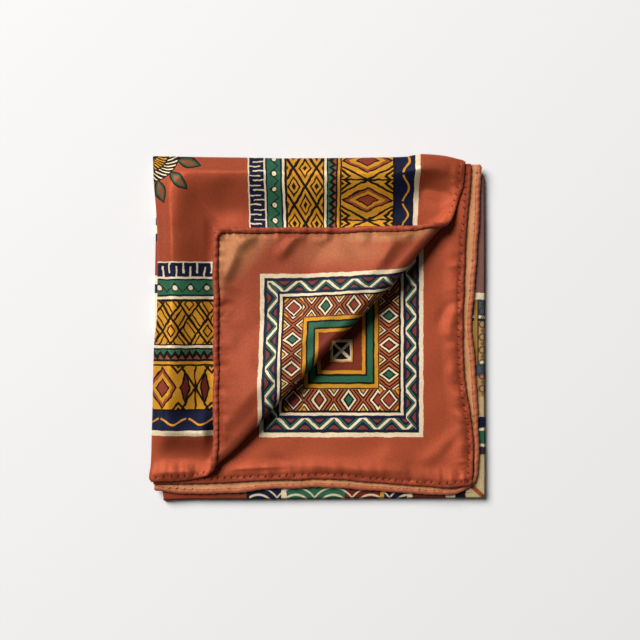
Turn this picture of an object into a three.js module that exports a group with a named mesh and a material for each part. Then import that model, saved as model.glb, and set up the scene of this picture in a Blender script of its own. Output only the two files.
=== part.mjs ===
// A silk square scarf, 90 cm on a side, folded to a sixteenth of its area and laid flat.
// The top leaf's free corner is turned back over a soft roll, so its reverse shows.
// Millimetres, +Z up. +X is the pack's right side and +Y its top side, seen from above.
// The origin is on the surface that the pack lies on, under the middle of its outline.

import * as THREE from "three";

// Cloth and layers
const WALL = 1.0;
const GAP = 0.3;
const PITCH = WALL + GAP;
const STACK_HEIGHT = 5.0;
const HEM_WIDTH = 3.6;
const HEM_HEIGHT = 2.0;
const HEM_SIDES = 6;
const HEM_LIFT = HEM_HEIGHT - WALL;
const HEM_LIFT_REACH = 12;

// The top leaf's folded left and top edges bend down over the layers under them.
const LIP_RADIUS = 2.0;
const LIP_TURN = THREE.MathUtils.degToRad(100);
const LIP_ARC = LIP_RADIUS * LIP_TURN;
const LIP_STEPS = 4;
const LIP_SPARE = LIP_ARC - LIP_RADIUS - WALL;
const UNDER_LIP = { second: 2.6, third: 3.0 };
const NORMAL_STEP = 0.05;

// The turned-back corner. The cloth rises in a wide bend, turns over in a tighter one,
// slopes down and lands on the leaf. The crease runs up to the right at 45 degrees.
const CREASE_ACROSS = 21.5;
const RISE_RADIUS = 15;
const RISE_TURN = THREE.MathUtils.degToRad(60);
const TURN_RADIUS = 6.5;
const LANDING_SLOPE = THREE.MathUtils.degToRad(17);
const LANDING_RADIUS = 25;
const FLAP_HEIGHT = 2 * WALL + GAP;

// Size of the roll along the crease, from its lower left end to its upper right end
const ROLL_SIZE = [
  { along: -130, scale: 0.85 },
  { along: -60, scale: 0.95 },
  { along: 15, scale: 0.9 },
  { along: 50, scale: 1.1 },
  { along: 125, scale: 1.15 },
];

// Folded left edge and folded top edge of the top leaf
const TOP_LEAF_LEFT = [
  { y: -103, x: -112.3 },
  { y: -70, x: -111.2 },
  { y: -12, x: -109.8 },
  { y: 10, x: -107.8 },
  { y: 70, x: -107.8 },
  { y: 98, x: -110.0 },
  { y: 116, x: -110.6 },
];
const TOP_LEAF_TOP = [
  { x: -112, y: 115.4 },
  { x: -70, y: 114.6 },
  { x: 0, y: 114.0 },
  { x: 50, y: 114.6 },
  { x: 78, y: 115.4 },
  { x: 98, y: 112.2 },
];

// Hemmed edges of the top leaf, laid out flat before its corner is turned back
const TOP_LEAF_RIGHT = [
  { y: -101, x: 97.4 },
  { y: 10, x: 97.4 },
  { y: 45, x: 96.0 },
  { y: 70, x: 93.4 },
  { y: 86, x: 93.8 },
  { y: 100, x: 96.2 },
  { y: 113, x: 98.2 },
];
const TOP_LEAF_BOTTOM = [
  { x: -113, y: -102.2 },
  { x: -85, y: -100.8 },
  { x: -50, y: -99.0 },
  { x: -10, y: -99.8 },
  { x: 98, y: -100.4 },
];

// Hemmed edges of the second leaf
const SECOND_LEAF_RIGHT = [
  { y: -102, x: 100.2 },
  { y: -98, x: 101.7 },
  { y: -84, x: 103.8 },
  { y: -62, x: 102.1 },
  { y: -40, x: 98.3 },
  { y: -25, x: 96.7 },
  { y: 30, x: 96.9 },
  { y: 70, x: 99.2 },
  { y: 112, x: 102.0 },
];
const SECOND_LEAF_BOTTOM = [
  { x: -112, y: -103.9 },
  { x: -78, y: -103.0 },
  { x: -25, y: -100.8 },
  { x: 8, y: -100.0 },
  { x: 42, y: -102.9 },
  { x: 80, y: -105.4 },
  { x: 94, y: -104.6 },
  { x: 101, y: -101.8 },
];

// Hemmed edges of the third leaf
const THIRD_LEAF_RIGHT = [
  { y: -105, x: 101.0 },
  { y: -100, x: 104.8 },
  { y: -94, x: 106.4 },
  { y: -74, x: 107.0 },
  { y: -23, x: 104.8 },
  { y: 0, x: 102.6 },
  { y: 15, x: 103.4 },
  { y: 56, x: 106.4 },
  { y: 110, x: 109.0 },
];
const THIRD_LEAF_BOTTOM = [
  { x: -108, y: -108.2 },
  { x: -82, y: -110.2 },
  { x: -58, y: -109.6 },
  { x: -25, y: -106.7 },
  { x: 8, y: -106.2 },
  { x: 42, y: -108.6 },
  { x: 80, y: -111.0 },
  { x: 90, y: -110.2 },
  { x: 96, y: -107.6 },
  { x: 102, y: -104.0 },
];

// Where the second leaf's corner is lifted by the third leaf's hem under it
const CORNER_RIDGE = { x: 98, y: -103, full: 8, reach: 26 };

// Outline of the hidden layers, counterclockwise from the pointed fold at the lower left
const STACK_OUTLINE = [
  { x: -104.0, y: -115.7, round: 1.5 },
  { x: -92.0, y: -114.6, round: 10 },
  { x: 20.0, y: -114.2, round: 10 },
  { x: 112.1, y: -113.8, round: 4 },
  { x: 111.8, y: 0, round: 10 },
  { x: 111.8, y: 104, round: 5 },
  { x: 98.0, y: 111.4, round: 6 },
  { x: 0, y: 112.6, round: 10 },
  { x: -108.8, y: 114.2, round: 3 },
  { x: -110.1, y: 0, round: 10 },
  { x: -110.3, y: -104.0, round: 2.5 },
  { x: -105.2, y: -107.5, round: 2.5 },
];
const ROUND_STEPS = 3;
const CORNER_PASSES = 12;

// Side of the hidden layers from the underside up: four folds, each a soft bulge
const STACK_SIDE = [
  { inset: 1.1, z: 0 },
  { inset: 0.1, z: 0.5 },
  { inset: 1.0, z: 1.2 },
  { inset: 0.0, z: 1.8 },
  { inset: 1.0, z: 2.5 },
  { inset: 0.3, z: 3.1 },
  { inset: 1.3, z: 3.7 },
  { inset: 0.8, z: 4.3 },
  { inset: 1.9, z: STACK_HEIGHT },
];

// Cells of each leaf, and where the top leaf's cells get small for its bends
const TOP_LEAF_COARSE = 5;
const TOP_LEAF_FINE = 28;
const TOP_LEAF_FINE_FROM = -66;
const SECOND_LEAF_CELLS = 20;
const THIRD_LEAF_CELLS = 18;

// Silk colours
const TERRACOTTA = 0xb4553c;
const TAN = 0xcd9164;
const PACK_BROWN = 0x7a4632;

const ROOT2 = Math.SQRT2;
const { lerp, clamp } = THREE.MathUtils;

// A smooth curve through a table's rows: the value of column `to` where column `from` is `at`
function follow(rows, from, to, at) {
  const last = rows.length - 1;
  const place = clamp(at, rows[0][from], rows[last][from]);
  let i = 0;
  while (i < last - 1 && place > rows[i + 1][from]) i += 1;
  const slope = (k) => {
    const before = rows[Math.max(k - 1, 0)];
    const after = rows[Math.min(k + 1, last)];
    return (after[to] - before[to]) / (after[from] - before[from]);
  };
  const width = rows[i + 1][from] - rows[i][from];
  const f = (place - rows[i][from]) / width;
  const start = rows[i][to] * (1 + 2 * f) + slope(i) * width * f;
  const end = rows[i + 1][to] * (3 - 2 * f) - slope(i + 1) * width * (1 - f);
  return start * (1 - f) ** 2 + end * f ** 2;
}

const topLeafLeft = (y) => follow(TOP_LEAF_LEFT, "y", "x", y);
const topLeafTop = (x) => follow(TOP_LEAF_TOP, "x", "y", x);

// Outline of each leaf before hems: its two folded sides and its two hemmed sides
const TOP_LEAF = {
  left: topLeafLeft,
  top: topLeafTop,
  right: (y) => follow(TOP_LEAF_RIGHT, "y", "x", y),
  bottom: (x) => follow(TOP_LEAF_BOTTOM, "x", "y", x),
};
const SECOND_LEAF = {
  left: (y) => topLeafLeft(y) + UNDER_LIP.second,
  top: (x) => topLeafTop(x) - UNDER_LIP.second,
  right: (y) => follow(SECOND_LEAF_RIGHT, "y", "x", y),
  bottom: (x) => follow(SECOND_LEAF_BOTTOM, "x", "y", x),
};
const THIRD_LEAF = {
  left: (y) => topLeafLeft(y) + UNDER_LIP.third,
  top: (x) => topLeafTop(x) - UNDER_LIP.third,
  right: (y) => follow(THIRD_LEAF_RIGHT, "y", "x", y),
  bottom: (x) => follow(THIRD_LEAF_BOTTOM, "x", "y", x),
};

// How far a leaf is lifted by the hem rolled under its edge: 1 at the hem, 0 well inside
function hemLift(leaf, x, y) {
  const inside = Math.min(leaf.right(y) - x, y - leaf.bottom(x)) - HEM_WIDTH;
  return HEM_LIFT * (1 - THREE.MathUtils.smoothstep(inside, 0, HEM_LIFT_REACH));
}

// The second leaf's corner also rides over the third leaf's hem.
function cornerLift(x, y) {
  const away = Math.hypot(x - CORNER_RIDGE.x, y - CORNER_RIDGE.y);
  return HEM_LIFT * (1 - THREE.MathUtils.smoothstep(away, CORNER_RIDGE.full, CORNER_RIDGE.reach));
}

// Height of each leaf's lower face
const thirdUnder = () => STACK_HEIGHT + GAP;
const secondUnder = (x, y) => thirdUnder() + PITCH + hemLift(SECOND_LEAF, x, y) + cornerLift(x, y);
const topUnder = (x, y) => secondUnder(x, y) + PITCH + hemLift(TOP_LEAF, x, y);

// Section of the turned-back corner at one size, as stretches of cloth one after another
function rollSection(scale) {
  const rise = RISE_RADIUS * scale;
  const turn = TURN_RADIUS * scale;
  const overturn = Math.PI + LANDING_SLOPE - RISE_TURN;
  const risen = {
    length: rise * RISE_TURN,
    across: rise * Math.sin(RISE_TURN),
    z: rise * (1 - Math.cos(RISE_TURN)),
  };
  const turned = {
    length: risen.length + turn * overturn,
    across: risen.across - turn * (Math.sin(LANDING_SLOPE) + Math.sin(RISE_TURN)),
    z: risen.z + turn * (Math.cos(RISE_TURN) + Math.cos(LANDING_SLOPE)),
  };
  const landingDrop = LANDING_RADIUS * (1 - Math.cos(LANDING_SLOPE));
  const slope = (turned.z - landingDrop - FLAP_HEIGHT) / Math.sin(LANDING_SLOPE);
  const sloped = {
    length: turned.length + slope,
    across: turned.across - slope * Math.cos(LANDING_SLOPE),
    z: turned.z - slope * Math.sin(LANDING_SLOPE),
  };
  const landed = {
    length: sloped.length + LANDING_RADIUS * LANDING_SLOPE,
    across: sloped.across - LANDING_RADIUS * Math.sin(LANDING_SLOPE),
  };
  const start = CREASE_ACROSS - (landed.length + landed.across) / 2;
  return { rise, turn, risen, turned, sloped, landed, start };
}

// Where cloth at a distance past the roll's start comes to lie across the crease, and how high
function alongSection(part, length) {
  const { rise, turn, risen, turned, sloped, landed } = part;
  if (length <= 0) return { across: length, z: 0 };
  if (length <= risen.length) {
    const angle = length / rise;
    return { across: rise * Math.sin(angle), z: rise * (1 - Math.cos(angle)) };
  }
  if (length <= turned.length) {
    const angle = RISE_TURN + (length - risen.length) / turn;
    return {
      across: risen.across + turn * (Math.sin(angle) - Math.sin(RISE_TURN)),
      z: risen.z + turn * (Math.cos(RISE_TURN) - Math.cos(angle)),
    };
  }
  if (length <= sloped.length) {
    const down = length - turned.length;
    return {
      across: turned.across - down * Math.cos(LANDING_SLOPE),
      z: turned.z - down * Math.sin(LANDING_SLOPE),
    };
  }
  if (length <= landed.length) {
    const angle = LANDING_SLOPE - (length - sloped.length) / LANDING_RADIUS;
    const drop = LANDING_RADIUS * (Math.cos(angle) - Math.cos(LANDING_SLOPE));
    const back = LANDING_RADIUS * (Math.sin(LANDING_SLOPE) - Math.sin(angle));
    return { across: sloped.across - back, z: sloped.z - drop };
  }
  return { across: landed.across - (length - landed.length), z: FLAP_HEIGHT };
}

// Bends the cloth down over a folded edge: how far it moves in and how far it drops
function overLip(inside) {
  const angle = (LIP_RADIUS - inside) / LIP_RADIUS;
  if (angle <= 0) return { inward: 0, drop: 0 };
  return {
    inward: LIP_RADIUS * (angle - Math.sin(angle)),
    drop: LIP_RADIUS * (1 - Math.cos(angle)),
  };
}

// The top leaf's lower face at a place given on the leaf laid out flat
function topLeafFace(x, y) {
  const side = overLip(x - (topLeafLeft(y) + WALL));
  const end = overLip(topLeafTop(x) - WALL - y);
  const full = LIP_RADIUS * (1 - Math.cos(LIP_TURN));
  const drop = full * (1 - (1 - side.drop / full) * (1 - end.drop / full));
  const flatX = x + side.inward;
  const flatY = y - end.inward;
  const across = (flatX - flatY) / ROOT2;
  const along = (flatX + flatY) / ROOT2;
  const part = rollSection(follow(ROLL_SIZE, "along", "scale", along));
  const folded = alongSection(part, across - part.start);
  const placed = part.start + folded.across;
  const px = (along + placed) / ROOT2;
  const py = (along - placed) / ROOT2;
  return new THREE.Vector3(px, py, topUnder(px, py) + folded.z - drop);
}

// A point at a height over the top leaf's lower face, square to the cloth
function topLeafPoint(x, y, height) {
  const alongX = topLeafFace(x + NORMAL_STEP, y).sub(topLeafFace(x - NORMAL_STEP, y));
  const alongY = topLeafFace(x, y + NORMAL_STEP).sub(topLeafFace(x, y - NORMAL_STEP));
  const normal = alongX.cross(alongY).normalize();
  return topLeafFace(x, y).addScaledVector(normal, height);
}

const secondLeafPoint = (x, y, height) => new THREE.Vector3(x, y, secondUnder(x, y) + height);
const thirdLeafPoint = (x, y, height) => new THREE.Vector3(x, y, thirdUnder() + height);

// The corner where a leaf's two hemmed sides meet
function hemmedCorner(leaf) {
  const corner = new THREE.Vector2(leaf.right(0), leaf.bottom(0));
  for (let pass = 0; pass < CORNER_PASSES; pass += 1) {
    corner.set(leaf.right(corner.y), leaf.bottom(corner.x));
  }
  return corner;
}

// Points along a leaf's two hemmed sides, each with the way in, longer where the edge turns
function hemmedEdge(leaf, across, up) {
  const corner = hemmedCorner(leaf);
  const startX = leaf.left(leaf.bottom(leaf.left(corner.y)));
  const endY = leaf.top(leaf.right(leaf.top(corner.x)));
  const outer = across.map((share) => {
    const x = lerp(startX, corner.x, share);
    return new THREE.Vector2(x, leaf.bottom(x));
  });
  for (const share of up.slice(1)) {
    const y = lerp(corner.y, endY, share);
    outer.push(new THREE.Vector2(leaf.right(y), y));
  }
  const wayIn = (from, to) => {
    const run = to.clone().sub(from).normalize();
    return new THREE.Vector2(-run.y, run.x);
  };
  return outer.map((point, i) => {
    const before = i > 0 ? wayIn(outer[i - 1], point) : wayIn(point, outer[1]);
    const after = i < outer.length - 1 ? wayIn(point, outer[i + 1]) : before;
    const inward = before.clone().add(after).normalize();
    inward.divideScalar(inward.dot(before));
    return { point, inward };
  });
}

const inFrom = ({ point, inward }, distance) => point.clone().addScaledVector(inward, distance);

// Places on a leaf inside its hems, in rows from the bottom up, spread between its four sides
function leafPlaces(leaf, across, up) {
  const hemmed = hemmedEdge(leaf, across, up).map((station) => inFrom(station, HEM_WIDTH + GAP));
  const bottom = hemmed.slice(0, across.length);
  const right = hemmed.slice(across.length - 1);
  const start = bottom[0];
  const end = right[right.length - 1];
  const topLeftY = leaf.top(leaf.left(end.y));
  const topLeft = new THREE.Vector2(leaf.left(topLeftY), topLeftY);
  const left = up.map((share) => {
    const y = lerp(start.y, topLeft.y, share);
    return new THREE.Vector2(leaf.left(y) + (1 - share) * (start.x - leaf.left(start.y)), y);
  });
  const top = across.map((share) => {
    const x = lerp(topLeft.x, end.x, share);
    return new THREE.Vector2(x, leaf.top(x) + share * (end.y - leaf.top(end.x)));
  });
  const corner = right[0];
  return up.map((b, j) =>
    across.map((a, i) => {
      const mix = (key) =>
        lerp(bottom[i][key], top[i][key], b) +
        lerp(left[j][key], right[j][key], a) -
        lerp(lerp(start[key], corner[key], a), lerp(topLeft[key], end[key], a), b);
      return { x: mix("x"), y: mix("y") };
    }),
  );
}

function closedMesh(name, points, triangles, colour) {
  const geometry = new THREE.BufferGeometry();
  geometry.setAttribute("position", new THREE.Float32BufferAttribute(points.flatMap((p) => p.toArray()), 3));
  geometry.setIndex(triangles);
  geometry.computeVertexNormals();
  const material = new THREE.MeshStandardMaterial({ color: colour, roughness: 0.5, metalness: 0 });
  const mesh = new THREE.Mesh(geometry, material);
  mesh.name = name;
  return mesh;
}

// A wall of cloth: a lower face, an upper face one wall higher, and a rim around both
function clothWall(name, colour, leaf, pointAt, across, up) {
  const points = [];
  for (const height of [0, WALL]) {
    for (const row of leafPlaces(leaf, across, up)) {
      for (const { x, y } of row) {
        points.push(pointAt(x, y, height));
      }
    }
  }
  const columns = across.length;
  const rows = up.length;
  const at = (i, j, k) => (k * rows + j) * columns + i;
  const triangles = [];
  for (let j = 0; j < rows - 1; j += 1) {
    for (let i = 0; i < columns - 1; i += 1) {
      triangles.push(at(i, j, 1), at(i + 1, j, 1), at(i + 1, j + 1, 1));
      triangles.push(at(i, j, 1), at(i + 1, j + 1, 1), at(i, j + 1, 1));
      triangles.push(at(i, j, 0), at(i + 1, j + 1, 0), at(i + 1, j, 0));
      triangles.push(at(i, j, 0), at(i, j + 1, 0), at(i + 1, j + 1, 0));
    }
  }
  const rim = (i, j, ni, nj) => {
    triangles.push(at(i, j, 0), at(ni, nj, 0), at(ni, nj, 1));
    triangles.push(at(i, j, 0), at(ni, nj, 1), at(i, j, 1));
  };
  for (let i = 0; i < columns - 1; i += 1) {
    rim(i, 0, i + 1, 0);
    rim(i + 1, rows - 1, i, rows - 1);
  }
  for (let j = 0; j < rows - 1; j += 1) {
    rim(columns - 1, j, columns - 1, j + 1);
    rim(0, j + 1, 0, j);
  }
  return closedMesh(name, points, triangles, colour);
}

// A rolled hem: an oval tube along the hemmed sides, its middle at a height over the lower face
function rolledHem(name, colour, leaf, pointAt, across, up, middle) {
  const stations = hemmedEdge(leaf, across, up);
  const points = [];
  for (const station of stations) {
    for (let k = 0; k < HEM_SIDES; k += 1) {
      const angle = (2 * Math.PI * k) / HEM_SIDES;
      const { x, y } = inFrom(station, (HEM_WIDTH / 2) * (1 - Math.cos(angle)));
      points.push(pointAt(x, y, middle + (HEM_HEIGHT / 2) * Math.sin(angle)));
    }
  }
  const triangles = [];
  const at = (i, k) => i * HEM_SIDES + (k % HEM_SIDES);
  for (let i = 0; i < stations.length - 1; i += 1) {
    for (let k = 0; k < HEM_SIDES; k += 1) {
      triangles.push(at(i, k), at(i + 1, k + 1), at(i, k + 1));
      triangles.push(at(i, k), at(i + 1, k), at(i + 1, k + 1));
    }
  }
  const last = stations.length - 1;
  for (let k = 1; k < HEM_SIDES - 1; k += 1) {
    triangles.push(at(0, 0), at(0, k), at(0, k + 1));
    triangles.push(at(last, 0), at(last, k + 1), at(last, k));
  }
  return closedMesh(name, points, triangles, colour);
}

// The outline of the hidden layers with its corners rounded
function stackOutline() {
  const corners = STACK_OUTLINE.map((row) => new THREE.Vector2(row.x, row.y));
  const count = corners.length;
  const outline = [];
  corners.forEach((corner, i) => {
    const before = corners[(i + count - 1) % count];
    const after = corners[(i + 1) % count];
    const cut = STACK_OUTLINE[i].round;
    const start = corner.clone().add(before.clone().sub(corner).setLength(cut));
    const end = corner.clone().add(after.clone().sub(corner).setLength(cut));
    const bend = new THREE.QuadraticBezierCurve(start, corner, end);
    outline.push(...bend.getPoints(ROUND_STEPS));
  });
  return outline;
}

// Each point of the outline with the way in, square to the outline there
function withInward(outline) {
  const count = outline.length;
  return outline.map((point, i) => {
    const run = outline[(i + 1) % count].clone().sub(outline[(i + count - 1) % count]).normalize();
    return { point, inward: new THREE.Vector2(-run.y, run.x) };
  });
}

function lowerFoldStack() {
  const outline = withInward(stackOutline());
  const count = outline.length;
  const points = [];
  for (const { inset, z } of STACK_SIDE) {
    for (const { point, inward } of outline) {
      points.push(new THREE.Vector3(point.x + inward.x * inset, point.y + inward.y * inset, z));
    }
  }
  const triangles = [];
  for (let level = 0; level < STACK_SIDE.length - 1; level += 1) {
    for (let i = 0; i < count; i += 1) {
      const here = level * count + i;
      const next = level * count + ((i + 1) % count);
      triangles.push(here, next, next + count);
      triangles.push(here, next + count, here + count);
    }
  }
  const lowerMiddle = points.length;
  const upperMiddle = points.length + 1;
  points.push(new THREE.Vector3(0, 0, 0), new THREE.Vector3(0, 0, STACK_HEIGHT));
  const topRing = (STACK_SIDE.length - 1) * count;
  for (let i = 0; i < count; i += 1) {
    const next = (i + 1) % count;
    triangles.push(lowerMiddle, next, i);
    triangles.push(upperMiddle, topRing + i, topRing + next);
  }
  return closedMesh("lower_fold_stack", points, triangles, PACK_BROWN);
}

const evenShares = (cells) => Array.from({ length: cells + 1 }, (_, i) => i / cells);

// Shares across the top leaf: small cells over the folded edge, wide ones, then small ones
function topLeafShares(fold, far) {
  const span = far - fold;
  const fineFrom = TOP_LEAF_FINE_FROM - fold;
  const places = [];
  for (let i = 0; i < LIP_STEPS; i += 1) {
    places.push((LIP_ARC * i) / LIP_STEPS);
  }
  for (let i = 0; i < TOP_LEAF_COARSE; i += 1) {
    places.push(lerp(LIP_ARC, fineFrom, i / TOP_LEAF_COARSE));
  }
  for (let i = 0; i <= TOP_LEAF_FINE; i += 1) {
    places.push(lerp(fineFrom, span, i / TOP_LEAF_FINE));
  }
  return places.map((place) => place / span);
}

// The top leaf laid out flat, with the cloth that its folded edges take down over the layers
const TOP_LEAF_FLAT = {
  left: (y) => topLeafLeft(y) - LIP_SPARE,
  top: (x) => topLeafTop(x) + LIP_SPARE,
  right: TOP_LEAF.right,
  bottom: TOP_LEAF.bottom,
};
const topLeafAcross = topLeafShares(TOP_LEAF_FLAT.left(0), TOP_LEAF.right(0));
const topLeafDown = topLeafShares(-TOP_LEAF_FLAT.top(0), -TOP_LEAF.bottom(0));
const topLeafUp = topLeafDown.map((share) => 1 - share).reverse();

// A hem rolled to the reverse hangs under a leaf that lies printed side up.
const UNDER_EDGE = WALL - HEM_HEIGHT / 2;
const ON_EDGE = HEM_HEIGHT / 2;

const secondShares = evenShares(SECOND_LEAF_CELLS);
const thirdShares = evenShares(THIRD_LEAF_CELLS);

function topLeaf() {
  const wall = [TOP_LEAF_FLAT, topLeafPoint, topLeafAcross, topLeafUp];
  return [
    clothWall("leaf_one", TERRACOTTA, ...wall),
    rolledHem("leaf_one_hem", TERRACOTTA, ...wall, UNDER_EDGE),
  ];
}

function secondLeaf() {
  const wall = [SECOND_LEAF, secondLeafPoint, secondShares, secondShares];
  return [
    clothWall("leaf_two", TERRACOTTA, ...wall),
    rolledHem("leaf_two_hem", TERRACOTTA, ...wall, UNDER_EDGE),
  ];
}

function thirdLeaf() {
  const wall = [THIRD_LEAF, thirdLeafPoint, thirdShares, thirdShares];
  return [
    clothWall("leaf_three", TAN, ...wall),
    rolledHem("leaf_three_hem", TERRACOTTA, ...wall, ON_EDGE),
  ];
}

const scarf = new THREE.Group();
scarf.add(lowerFoldStack(), ...thirdLeaf(), ...secondLeaf(), ...topLeaf());

export default scarf;
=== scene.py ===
# Looks of a printed silk square scarf that lies folded flat, one corner turned back.
# Sizes are millimetres in the functions below; each mesh is written in metres.

import math
from collections import namedtuple

import bpy
import numpy as np
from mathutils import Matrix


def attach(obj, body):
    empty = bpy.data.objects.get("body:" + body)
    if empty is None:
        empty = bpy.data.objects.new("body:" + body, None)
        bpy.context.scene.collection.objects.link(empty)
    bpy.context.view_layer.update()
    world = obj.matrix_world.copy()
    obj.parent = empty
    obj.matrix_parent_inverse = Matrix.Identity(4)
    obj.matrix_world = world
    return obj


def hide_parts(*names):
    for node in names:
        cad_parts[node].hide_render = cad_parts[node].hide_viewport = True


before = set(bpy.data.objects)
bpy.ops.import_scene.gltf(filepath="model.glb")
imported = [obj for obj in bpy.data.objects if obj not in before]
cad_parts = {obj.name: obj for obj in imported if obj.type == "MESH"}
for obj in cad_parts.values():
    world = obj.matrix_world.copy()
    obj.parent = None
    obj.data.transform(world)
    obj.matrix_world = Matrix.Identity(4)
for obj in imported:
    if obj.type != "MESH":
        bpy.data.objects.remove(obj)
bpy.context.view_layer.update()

MM = 0.001

# Cloth and layers, as in the solids
WALL = 1.0
GAP = 0.3
PITCH = WALL + GAP
STACK_HEIGHT = 5.0
HEM_WIDTH = 3.6
HEM_HEIGHT = 2.0
HEM_LIFT = HEM_HEIGHT - WALL
HEM_LIFT_REACH = 12
LIP_RADIUS = 2.0
LIP_TURN = math.radians(100)
LIP_SPARE = LIP_RADIUS * LIP_TURN - LIP_RADIUS - WALL
UNDER_LIP_SECOND = 2.6
UNDER_LIP_THIRD = 3.0
NORMAL_STEP = 0.05

# Hand stitches: ranges of their spacing, depth, lean in radians and tightness, how many are
# drawn at most, how far the last lies from the end, and the dent that each one pulls
STITCH_SPACING = (3.9, 5.6)
STITCH_DEPTH = (-0.4, 0.3)
STITCH_LEAN = (0.35, 0.8)
STITCH_TIGHTNESS = (0.4, 1.0)
MOST_STITCHES = 120
LAST_STITCH = 3
DENT_DEEP = 1.25
DENT_WIDE = 1.8

# Width of the strip that is rolled into each hem
HEM_TURN = 3.0

# The printed side reaches over the rolled hem and bends down at its edge.
OVER_HEM = 0.35
OVER_HEM_BEND = 2.2
OVER_HEM_DROP = 0.6

# The silk itself is a thin shell in the middle of the solids' wall.
SILK = 0.5
SILK_UNDER = (WALL - SILK) / 2
SILK_OVER = SILK_UNDER + SILK

# The turned-back corner: a wide rise, a tighter turn, a slope down and a landing
CREASE_ACROSS = 21.5
RISE_RADIUS = 15
RISE_TURN = math.radians(60)
TURN_RADIUS = 6.5
LANDING_SLOPE = math.radians(17)
LANDING_RADIUS = 25
FLAP_HEIGHT = 2 * WALL + GAP

# Rows of (place along the crease, size of the roll)
ROLL_SIZE = [(-130, 0.52), (-110, 0.7), (-60, 0.84), (15, 0.8), (50, 0.94), (125, 0.96)]

# Rows of (place along the crease, how far the roll is drawn up and to the left). The pull
# sets in and dies away over these lengths of cloth, measured from the roll's start.
ROLL_PULL = [
    (-127, 4.2), (-113, 1.8), (-95, -0.6), (-65, 0.0), (5, 2.0), (60, 2.2), (100, 5.4), (130, 6.4),
]
PULL_START = (-6, 18)
PULL_END = (20, 46)

# Rows of (place along the crease, share of the roll's full height that it keeps)
ROLL_HEIGHT = [
    (-130, 0.42), (-100, 0.52), (-62, 0.76), (-22, 1.0), (50, 1.0), (90, 0.76), (125, 0.46),
]

# Edges of the leaves. Left and right sides are rows of (y, x), tops and bottoms rows of (x, y).
TOP_LEAF_LEFT = [
    (-103, -112.3), (-70, -111.2), (-12, -109.8), (10, -107.8),
    (70, -107.8), (98, -110.0), (116, -110.6),
]
TOP_LEAF_TOP = [(-112, 115.4), (-70, 114.6), (0, 114.0), (50, 114.6), (78, 115.4), (98, 112.2)]
TOP_LEAF_RIGHT = [
    (-101, 97.4), (10, 97.4), (45, 96.4), (66, 94.6), (82, 95.2), (96, 96.8), (113, 98.0),
]
TOP_LEAF_BOTTOM = [(-113, -102.2), (-85, -100.8), (-50, -99.0), (-10, -99.8), (98, -100.4)]
SECOND_LEAF_RIGHT = [
    (-104, 101.4), (-98, 102.4), (-84, 103.4), (-62, 102.1), (-40, 98.3),
    (-25, 96.7), (30, 96.9), (70, 99.2), (112, 102.0),
]
SECOND_LEAF_BOTTOM = [
    (-112, -103.9), (-78, -103.0), (-25, -100.8), (8, -100.0), (42, -102.9),
    (80, -105.4), (94, -105.0), (102, -103.8),
]
THIRD_LEAF_RIGHT = [
    (-105, 102.6), (-100, 105.6), (-94, 106.8), (-74, 107.0), (-23, 104.8),
    (0, 102.6), (15, 103.4), (56, 106.4), (110, 109.0),
]
THIRD_LEAF_BOTTOM = [
    (-108, -108.2), (-82, -110.2), (-58, -109.6), (-25, -106.7), (8, -106.2),
    (42, -108.6), (80, -111.0), (90, -110.6), (96, -108.8), (104, -103.6),
]
CORNER_RIDGE = (98, -103)
CORNER_RIDGE_FULL = 8
CORNER_RIDGE_REACH = 26

# Outline of the hidden layers: rows of (x, y, rounding)
STACK_OUTLINE = [
    (-104.0, -115.7, 1.5), (-92.0, -114.6, 10), (20.0, -114.2, 10), (112.1, -113.8, 4),
    (111.8, 0, 10), (111.8, 104, 5), (98.0, 111.4, 6), (0, 112.6, 10),
    (-108.8, 114.2, 3), (-110.1, 0, 10), (-110.3, -104.0, 2.5), (-105.2, -107.5, 2.5),
]

# Silk colours, as sRGB
TERRACOTTA = (160, 73, 46)
BRICK = (140, 58, 40)
DARK_BRICK = (124, 60, 40)
MAROON = (104, 38, 26)
DEEP_RED = (120, 47, 30)
RUST = (160, 80, 44)
AMBER = (176, 92, 44)
CLAY = (184, 112, 88)
# Tan of a painted sheen on the flap's reverse
SHEEN_TAN = (184, 126, 84)
# Tan of the third leaf's reverse, partly its own colour and partly painted sheen
SHEENED_REVERSE_TAN = (204, 144, 98)
SAND = (178, 136, 86)
PALE_SAND = (196, 164, 124)
BEIGE = (188, 166, 124)
CREAM = (226, 206, 172)
OCHRE = (204, 142, 38)
DEEP_OCHRE = (188, 116, 34)
DULL_OCHRE = (156, 116, 52)
STRAP_BROWN = (142, 78, 34)
RING_BROWN = (150, 72, 44)
TRIANGLE_BROWN = (134, 76, 54)
FRAME_BROWN = (118, 56, 44)
PETAL_BROWN = (124, 74, 46)
SHADED_TERRACOTTA = (124, 84, 76)
PALE_SHADED_TERRACOTTA = (124, 86, 78)
PLUM = (62, 40, 52)
GREEN = (46, 96, 70)
PALE_GREEN = (70, 116, 88)
PETAL_GREEN = (44, 78, 58)
NAVY = (23, 27, 52)
SLATE = (74, 82, 88)
CHARCOAL = (52, 50, 54)
BLACK = (24, 19, 16)
HEM_PINK = (158, 72, 50)
PALE_HEM = (176, 100, 70)
THREAD = (176, 92, 66)
# Thread darkened with painted shade of the dimples that the stitches pull
SHADED_THREAD = (112, 36, 22)


def smooth(value, low, high):
    """0 below low, 1 above high and a soft step between them."""
    share = np.clip((value - low) / (high - low), 0, 1)
    return share * share * (3 - 2 * share)


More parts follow.
